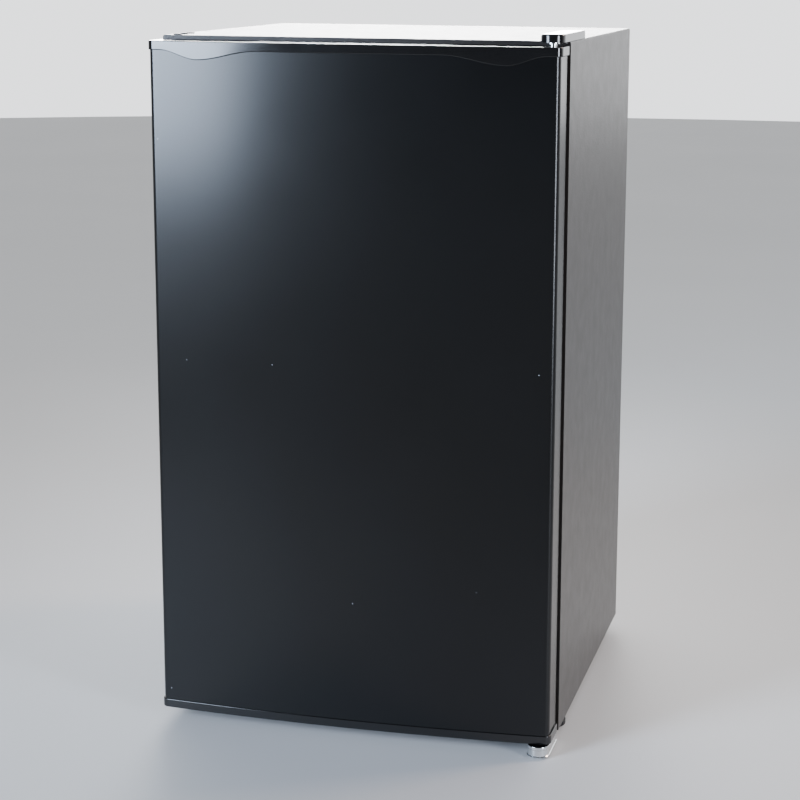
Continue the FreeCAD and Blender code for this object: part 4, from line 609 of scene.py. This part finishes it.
top_cap = bowed_sheet("top_cap", mm(0.05), mm(0.05), cap_high.z - SKIRT, cap_high.z, columns=160)
rim = sorted({round(v.co.x, 6) for v in top_cap.data.vertices if wave_drop(v.co.x) > 0})
for x in rim:
    pick(top_cap, "VERT", lambda place, way: near(place.x, x, 0.000002) and place.z < cap_high.z - SKIRT / 2
         and place.y < DOOR_REAR - mm(30.0))
    bpy.ops.transform.translate(value=(0, 0, -wave_drop(x)))
    leave_edit()
turn_rim_in(top_cap, lambda place, way: place.z < cap_high.z - SKIRT / 2 and abs(way.z) < 0.8)
face_outwards(top_cap)
pick(top_cap, "EDGE", lambda place, way: near(place.z, cap_high.z) and abs(way.z) < 0.1)
bpy.ops.mesh.edge_face_add()
leave_edit()
soften(top_cap, mm(1.1), 4, 60.0)
apply_modifier(top_cap, "SOLIDIFY", thickness=mm(1.0), offset=-1.0)
print("wave of", len(rim), "columns")

# %% [markdown]
# Each finger scoop is a cup with round corners, let into a hole in the cap's plate.
# The hole and the cup come from the same block, the cup with its lid taken off and a wall given outwards.

# %% Finger scoops
SCOOP_START, SCOOP_END, SCOOP_DEPTH = mm(26.0), mm(126.0), mm(16.0)
SCOOP_FRONT, SCOOP_BACK = cap_low.y + BOW + mm(9.0), DOOR_REAR - mm(7.0)
cups = []
for side in (1, -1):
    ends = sorted((side * (HALF - SCOOP_START), side * (HALF - SCOOP_END)))
    hole = start_block("scoop_hole", (ends[0], SCOOP_FRONT, cap_high.z - SCOOP_DEPTH),
                       (ends[1], SCOOP_BACK, cap_high.z + mm(4.0)))
    pick(hole, "EDGE", lambda place, way: abs(way.z) > 0.9)
    bpy.ops.mesh.bevel(offset=mm(8.0), segments=8)
    leave_edit()
    cup = copy_of(hole, "scoop_cup")
    cut_with(top_cap, hole)
    pick(cup, "FACE", lambda place, way: way.z > 0.9)
    bpy.ops.mesh.delete(type="FACE")
    bpy.ops.mesh.select_mode(type="VERT")
    leave_edit()
    pick(cup, "VERT", lambda place, way: place.z > cap_high.z)
    bpy.ops.transform.translate(value=(0, 0, -mm(4.0)))
    leave_edit()
    pick(cup, "EDGE", lambda place, way: near(place.z, cap_high.z - SCOOP_DEPTH) and abs(way.z) < 0.1)
    bpy.ops.mesh.bevel(offset=mm(5.0), segments=5)
    leave_edit()
    make_active(cup)
    bpy.ops.object.mode_set(mode="EDIT")
    bpy.ops.mesh.select_all(action="SELECT")
    bpy.ops.mesh.flip_normals()
    leave_edit()
    apply_modifier(cup, "SOLIDIFY", thickness=mm(1.6), offset=-1.0)
    cups.append(cup)
top_cap = join("top_cap", top_cap, *cups)
hand_over(top_cap, "door", "cap_plastic", finishes["cap_plastic"], "door_top_cap", angle=32.0)
apply_modifier(top_cap, "WEIGHTED_NORMAL", keep_sharp=True)

# %% [markdown]
# The bottom cap is the same tray turned over, without a wave or scoops. It uses the same bowed sheet, closed
# by a plate underneath, and its upper rim is folded in and rounded like the top cap's.

# %% Bottom cap
bottom_cap = bowed_sheet("bottom_cap", 0.0, 0.0, bottom_low.z, bottom_low.z + SKIRT, columns=128)
turn_rim_in(bottom_cap, lambda place, way: place.z > bottom_low.z + SKIRT / 2 and abs(way.z) < 0.8)
face_outwards(bottom_cap)
pick(bottom_cap, "EDGE", lambda place, way: near(place.z, bottom_low.z) and abs(way.z) < 0.1)
bpy.ops.mesh.edge_face_add()
leave_edit()
soften(bottom_cap, mm(1.1), 4, 60.0)
apply_modifier(bottom_cap, "SOLIDIFY", thickness=mm(1.0), offset=-1.0)
hand_over(bottom_cap, "door", "cap_plastic", finishes["cap_plastic"], "door_bottom_cap", angle=32.0)
apply_modifier(bottom_cap, "WEIGHTED_NORMAL", keep_sharp=True)

# %% [markdown]
# The gasket is an extruded PVC bellows: a foot on the door's rear face, a narrow fold, and a wider lip with the
# magnet. It is drawn as a ring, pushed out a step at a time and narrowed or widened at each step.

# %% Door gasket
gasket_low, gasket_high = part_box("door_gasket")
gasket_depth = gasket_high.y - gasket_low.y
lip_width = mm(20.0)
select_nothing()
bpy.ops.mesh.primitive_plane_add(size=1.0, location=((gasket_low.x + gasket_high.x) / 2, gasket_low.y,
                                 (gasket_low.z + gasket_high.z) / 2), rotation=(math.pi / 2, 0, 0))
gasket = bpy.context.object
gasket.name = "gasket_bellows"
gasket.scale = (gasket_high.x - gasket_low.x, gasket_high.z - gasket_low.z, 1.0)
bpy.ops.object.transform_apply(location=True, rotation=True, scale=True)
make_active(gasket)
bpy.ops.object.mode_set(mode="EDIT")
bpy.ops.mesh.select_all(action="SELECT")
bpy.ops.mesh.inset(thickness=lip_width, depth=0)
bpy.ops.mesh.delete(type="FACE")
leave_edit()
pick(gasket, "FACE", lambda place, way: True)
for forward, narrower in ((0.16, 0.0), (0.06, mm(3.4)), (0.2, 0.0), (0.08, -mm(2.4)), (0.3, 0.0),
                          (0.12, mm(0.8)), (0.08, mm(1.6))):
    bpy.ops.mesh.extrude_region_move(TRANSFORM_OT_translate={"value": (0, gasket_depth * forward, 0)})
    if narrower:
        bpy.ops.mesh.inset(thickness=abs(narrower), depth=0, use_outset=narrower < 0)
leave_edit()
pick(gasket, "FACE", lambda place, way: True)
bpy.ops.mesh.remove_doubles(threshold=0.00001)
bpy.ops.mesh.normals_make_consistent(inside=False)
leave_edit()
hand_over(gasket, "door", "gasket_rubber", finishes["gasket_rubber"], "door_gasket", angle=35.0)

# %% [markdown]
# The lower hinge is a bright pressed bracket: a tongue under the cabinet and the door, its rim rolled up round
# the nose and its underside domed. It starts as a block, rounded at the front, whose rim is inset and raised.

# %% Lower hinge bracket
arm_low, arm_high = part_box("lower_hinge_bracket")
arm_x, arm_half = (arm_low.x + arm_high.x) / 2, (arm_high.x - arm_low.x) / 2
PLATE, NOSE_REACH, NOSE_ROUNDING = mm(3.0), mm(61.3), arm_half - mm(0.1)
bracket = start_block("hinge_bracket", (arm_low.x, arm_low.y, arm_high.z - PLATE), arm_high)
pick(bracket, "EDGE", lambda place, way: abs(way.z) > 0.9 and near(place.y, arm_low.y))
bpy.ops.mesh.bevel(offset=NOSE_ROUNDING, segments=14)
leave_edit()
pick(bracket, "FACE", lambda place, way: way.z < -0.9)
bpy.ops.mesh.inset(thickness=mm(1.4), depth=0)
bpy.ops.mesh.extrude_region_move(TRANSFORM_OT_translate={"value": (0, 0, mm(1.2))})
leave_edit()
pick(bracket, "FACE", lambda place, way: way.z > 0.999)
bpy.ops.mesh.inset(thickness=mm(2.0), depth=0)
leave_edit()
nose_y = arm_low.y + arm_half
pick(bracket, "FACE", lambda place, way: way.z > 0.999 and place.y < nose_y
     and math.hypot(place.x - arm_x, place.y - nose_y) > arm_half - mm(2.2))
bpy.ops.mesh.extrude_region_move(TRANSFORM_OT_translate={"value": (0, 0, mm(0.8))})
leave_edit()
soften(bracket, mm(0.5), 2, 50.0)
skirt = start_block("bracket_skirt", arm_low, (arm_high.x, cad_low.y + NOSE_REACH, arm_high.z - PLATE))
pick(skirt, "EDGE", lambda place, way: abs(way.z) > 0.9 and near(place.y, arm_low.y))
bpy.ops.mesh.bevel(offset=NOSE_ROUNDING, segments=14)
leave_edit()
pick(skirt, "FACE", lambda place, way: way.z > 0.9 or way.y > 0.9)
bpy.ops.mesh.delete(type="FACE")
leave_edit()
pick(skirt, "FACE", lambda place, way: way.z < -0.9)
bpy.ops.mesh.inset(thickness=mm(1.8), depth=0)
bpy.ops.mesh.inset(thickness=mm(1.2), depth=-mm(1.2))
leave_edit()
pick(skirt, "EDGE", lambda place, way: near(place.z, arm_low.z) and abs(way.z) < 0.1)
bpy.ops.mesh.bevel(offset=mm(1.2), segments=4)
leave_edit()
apply_modifier(skirt, "SOLIDIFY", thickness=mm(1.4), offset=-1.0)
bracket = join("hinge_bracket", bracket, skirt)
hand_over(bracket, "cabinet", "bright_zinc", finishes["bright_zinc"], "lower_hinge_bracket", angle=35.0)
apply_modifier(bracket, "WEIGHTED_NORMAL", keep_sharp=True)

# %% [markdown]
# The levelling feet are moulded discs with a grip of flutes, on a threaded stem.
# The disc is drawn with many sides, every fourth side pushed in, and its top stepped.

# %% Front feet
THREAD_PITCH, THREAD_RADIUS, STEM_RADIUS = mm(1.25), mm(3.95), mm(3.6)


def every(nth, turn, sides):
    """True for every nth side of a rod with that many sides."""
    return int(math.floor(turn / (math.tau / sides) + 0.001)) % nth == 0


for side, node_name, body in ((-1, "front_foot_left", "left_foot"), (1, "front_foot_right", "right_foot")):
    foot_low, foot_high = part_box(node_name)
    centre = (foot_low + foot_high) / 2
    radius = (foot_high.x - foot_low.x) / 2
    pad = start_rod("foot_pad", (centre.x, centre.y, 0), (centre.x, centre.y, mm(6.0)), radius * 0.985, 48)
    pick(pad, "EDGE", lambda place, way: abs(way.z) < 0.1)
    bpy.ops.mesh.bevel(offset=mm(0.5), segments=2)
    leave_edit()
    pick(pad, "FACE", lambda place, way: abs(way.z) < 0.3 and every(
        4, math.atan2(place.y - centre.y, place.x - centre.x), 48))
    bpy.ops.mesh.inset(thickness=mm(0.3), depth=-mm(0.7), use_individual=True)
    leave_edit()
    pick(pad, "FACE", lambda place, way: way.z > 0.999)
    bpy.ops.mesh.inset(thickness=mm(2.6), depth=0)
    bpy.ops.mesh.inset(thickness=mm(1.2), depth=-mm(0.8))
    bpy.ops.mesh.inset(thickness=mm(5.0), depth=mm(0.6))
    leave_edit()
    collar = start_rod("foot_collar", (centre.x, centre.y, mm(5.0)), (centre.x, centre.y, mm(11.0)), mm(7.5), 6)
    soften(collar, mm(0.4), 2, 30.0)
    stem = start_rod("foot_stem", (centre.x, centre.y, mm(10.8)), (centre.x, centre.y, foot_high.z),
                     STEM_RADIUS, 20)
    turns = int((foot_high.z - mm(12.0)) / THREAD_PITCH)
    threads = []
    for k in range(turns):
        z = mm(11.4) + k * THREAD_PITCH
        ridge = start_rod("ridge", (centre.x, centre.y, z), (centre.x, centre.y, z + THREAD_PITCH * 0.8),
                          THREAD_RADIUS, 20)
        pick(ridge, "FACE", lambda place, way: abs(way.z) > 0.9)
        bpy.ops.transform.resize(value=(0.91, 0.91, 1.0))
        leave_edit()
        threads.append(ridge)
    foot = join("levelling_foot_" + ("left" if side < 0 else "right"), pad, collar, stem, *threads)
    hand_over(foot, body, slot_of[node_name], finishes[slot_of[node_name]], node_name, angle=30.0)

# %% [markdown]
# The door's liner is vacuum formed from one sheet, so nothing on it is sharp: every step and dike has a radius
# of a few millimetres. The frame part's own shape is welded into one skin and its edges are rounded.

# %% Door liner
liner_sheet = merged_copy("door_liner", "door_liner_formed")
soften(liner_sheet, mm(0.9), 3, 50.0)
hand_over(liner_sheet, "door", "liner_plastic", finishes["liner_plastic"], "door_liner", angle=40.0)

# %% [markdown]
# Each bin is a moulded tub: draft on its walls, a thick rolled rim along the guard, and upright ribs pressed in
# the guard's face. The block is opened at the top, its wall thickened inwards, and the ribs are raised on it.

# %% Door bins
BIN_CORNER, RIB_MARGIN = mm(14.0), mm(35.0)


def door_bin(name, node_name, ribs):
    low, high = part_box(node_name)
    tub = start_block(name, low, high)
    pick(tub, "EDGE", lambda place, way: abs(way.z) > 0.9 and near(place.y, high.y))
    bpy.ops.mesh.bevel(offset=BIN_CORNER, segments=8)
    leave_edit()
    pick(tub, "FACE", lambda place, way: way.z > 0.9)
    bpy.ops.mesh.delete(type="FACE")
    leave_edit()
    pick(tub, "EDGE", lambda place, way: near(place.z, low.z) and abs(way.z) < 0.1)
    bpy.ops.mesh.bevel(offset=mm(2.0), segments=3)
    leave_edit()
    apply_modifier(tub, "SOLIDIFY", thickness=mm(2.4), offset=-1.0)
    soften(tub, mm(0.5), 2, 50.0)
    rails = []
    for level in (high.z - mm(5.0), high.z - mm(12.0)):
        rail = start_block("rail", (low.x + BIN_CORNER, high.y - mm(3.6), level),
                           (high.x - BIN_CORNER, high.y, level + mm(4.2)))
        soften(rail, mm(1.6), 4, 30.0)
        rails.append(rail)
    gap = (high.x - low.x - 2 * RIB_MARGIN) / (ribs - 1)
    for k in range(ribs):
        x = low.x + RIB_MARGIN + k * gap
        rib = start_block("rib", (x - mm(1.2), high.y - mm(3.2), low.z + mm(8.0)),
                          (x + mm(1.2), high.y - mm(0.1), high.z - mm(15.0)))
        soften(rib, mm(0.8), 2, 30.0)
        rails.append(rib)
    tub = join(name, tub, *rails)
    hand_over(tub, "door", "bin_plastic", finishes["bin_plastic"], node_name, angle=35.0)


for name, node_name in (("bin_upper_moulded", "door_bin_upper"), ("bin_middle_moulded", "door_bin_middle"),
                        ("bottle_rack_moulded", "bottle_rack")):
    door_bin(name, node_name, ribs=9)

# %% [markdown]
# The freezer is roll-bonded aluminium: two sheets pressed together, with the refrigerant's channels blown up
# between them as rounded ribs. The box is welded from the frame part and its channels are rounded off.

# %% Evaporator
roll_bond = merged_copy("evaporator", "evaporator_roll_bond")
soften(roll_bond, mm(0.7), 3, 50.0)
hand_over(roll_bond, "cabinet", "roll_bond_aluminium", finishes["roll_bond_aluminium"], "evaporator",
          angle=40.0)

# %% [markdown]
# The freezer's flap is a moulded panel with a shallow recess in its face, which keeps it stiff and flat.
# The recess is inset in the frame part's own front face, and every edge is then rounded.

# %% Freezer flap
flap_panel = merged_copy("freezer_flap", "freezer_flap_moulded")
broad = max((f for f in flap_panel.data.polygons if f.normal.y < -0.9), key=lambda f: f.area).center.copy()
pick(flap_panel, "FACE", lambda place, way: (place - broad).length < mm(0.1))
bpy.ops.mesh.inset(thickness=mm(7.0), depth=0)
bpy.ops.mesh.inset(thickness=mm(0.8), depth=-mm(0.8))
leave_edit()
soften(flap_panel, mm(0.5), 2, 50.0)
flap_slot = slot_of["freezer_flap"]
hand_over(flap_panel, "flap", flap_slot, finishes[flap_slot], "freezer_flap", angle=35.0)

# %% [markdown]
# The thermostat's dial has a fluted edge, a grip bar and the numbers 1 to 7 printed in black round its face.
# Numbers are text made into mesh, thin plates standing a tenth of a millimetre proud of the dial.

# %% Thermostat dial
dial_low, dial_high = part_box("thermostat_knob")
dial_y, dial_z = (dial_low.y + dial_high.y) / 2, (dial_low.z + dial_high.z) / 2
DIAL_RADIUS = (dial_high.z - dial_low.z) / 2
face_x = dial_low.x + mm(5.0)
disc_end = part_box("thermostat_housing")[0].x - mm(0.3)
dial = start_rod("thermostat_dial", (face_x, dial_y, dial_z), (disc_end, dial_y, dial_z),
                 DIAL_RADIUS * 0.995, 96)
pick(dial, "FACE", lambda place, way: abs(way.x) < 0.3 and every(
    3, math.atan2(place.z - dial_z, place.y - dial_y), 96))
bpy.ops.mesh.inset(thickness=mm(0.12), depth=-mm(0.5), use_individual=True)
leave_edit()
pick(dial, "FACE", lambda place, way: way.x < -0.9 and near(place.x, face_x))
bpy.ops.mesh.inset(thickness=mm(1.0), depth=mm(0.0))
bpy.ops.mesh.inset(thickness=mm(0.6), depth=-mm(0.4))
leave_edit()
soften(dial, mm(0.25), 2, 40.0)
grip = start_block("dial_grip", (dial_low.x, dial_y - mm(3.5), dial_z - mm(9.5)),
                   (disc_end, dial_y + mm(3.5), dial_z + mm(9.5)))
soften(grip, mm(1.8), 4, 30.0)
shaft = start_rod("dial_shaft", (disc_end - mm(1.0), dial_y, dial_z), (dial_high.x, dial_y, dial_z),
                  mm(2.9), 32)
soften(shaft, mm(0.4), 2, 30.0)
dial = join("thermostat_dial", dial, grip, shaft)
dial_slot = slot_of["thermostat_knob"]
hand_over(dial, "knob", dial_slot, finishes[dial_slot], "thermostat_knob", angle=30.0)

numerals = []
for number in range(1, 8):
    turn = math.radians(210 - (number - 1) * 40)
    select_nothing()
    bpy.ops.object.text_add(location=(0, 0, 0))
    text = bpy.context.object
    text.data.body, text.data.size, text.data.extrude = str(number), mm(4.6), mm(0.05)
    text.data.align_x, text.data.align_y = "CENTER", "CENTER"
    bpy.ops.object.convert(target="MESH")
    text = bpy.context.object
    reach = DIAL_RADIUS - mm(4.6)
    text.matrix_world = Matrix.Translation((face_x + mm(0.32), dial_y - reach * math.cos(turn),
                                            dial_z + reach * math.sin(turn))) @ Matrix(
        ((0, 0, -1), (-1, 0, 0), (0, 1, 0))).to_4x4()
    bpy.ops.object.transform_apply(location=True, rotation=True, scale=True)
    numerals.append(text)
numbers = join("dial_numbers", *numerals)
hand_over(numbers, "knob", "black_plastic", finishes["black_plastic"], angle=30.0)

# %% [markdown]
# The back panel is held by pan-head screws along its edges, each with a cross recess. One screw is modelled
# and copied; the recess is two crossed slots cut in its head.

# %% Back panel screws
back_low, back_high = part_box("back_panel")
first_screw = start_rod("panel_screw", (0, back_high.y - mm(0.2), 0), (0, back_high.y + mm(2.2), 0),
                        mm(4.0), 32)
pick(first_screw, "FACE", lambda place, way: way.y > 0.9)
bpy.ops.mesh.inset(thickness=mm(1.3), depth=mm(0.3))
leave_edit()
soften(first_screw, mm(0.5), 3, 30.0)
for across, along in ((mm(0.4), mm(1.9)), (mm(1.9), mm(0.4))):
    slot_tool = start_block("recess", (-across, back_high.y + mm(1.2), -along),
                            (across, back_high.y + mm(4.0), along))
    cut_with(first_screw, slot_tool)
levels = (back_low.z + mm(20.0), back_low.z + mm(200.0), back_low.z + mm(380.0), back_high.z - mm(20.0))
spots = [(side * (back_high.x - mm(9.0)), z) for side in (-1, 1) for z in levels]
spots += [(side * mm(120.0), back_high.z - mm(9.0)) for side in (-1, 1)]
copies = []
for x, z in spots:
    twin = copy_of(first_screw, "panel_screw_copy")
    twin.data.transform(Matrix.Translation((x, 0, z)))
    copies.append(twin)
bpy.data.objects.remove(first_screw)
panel_screws = join("back_panel_screws", *copies)
hand_over(panel_screws, "cabinet", "zinc_steel", finishes["zinc_steel"], angle=30.0)
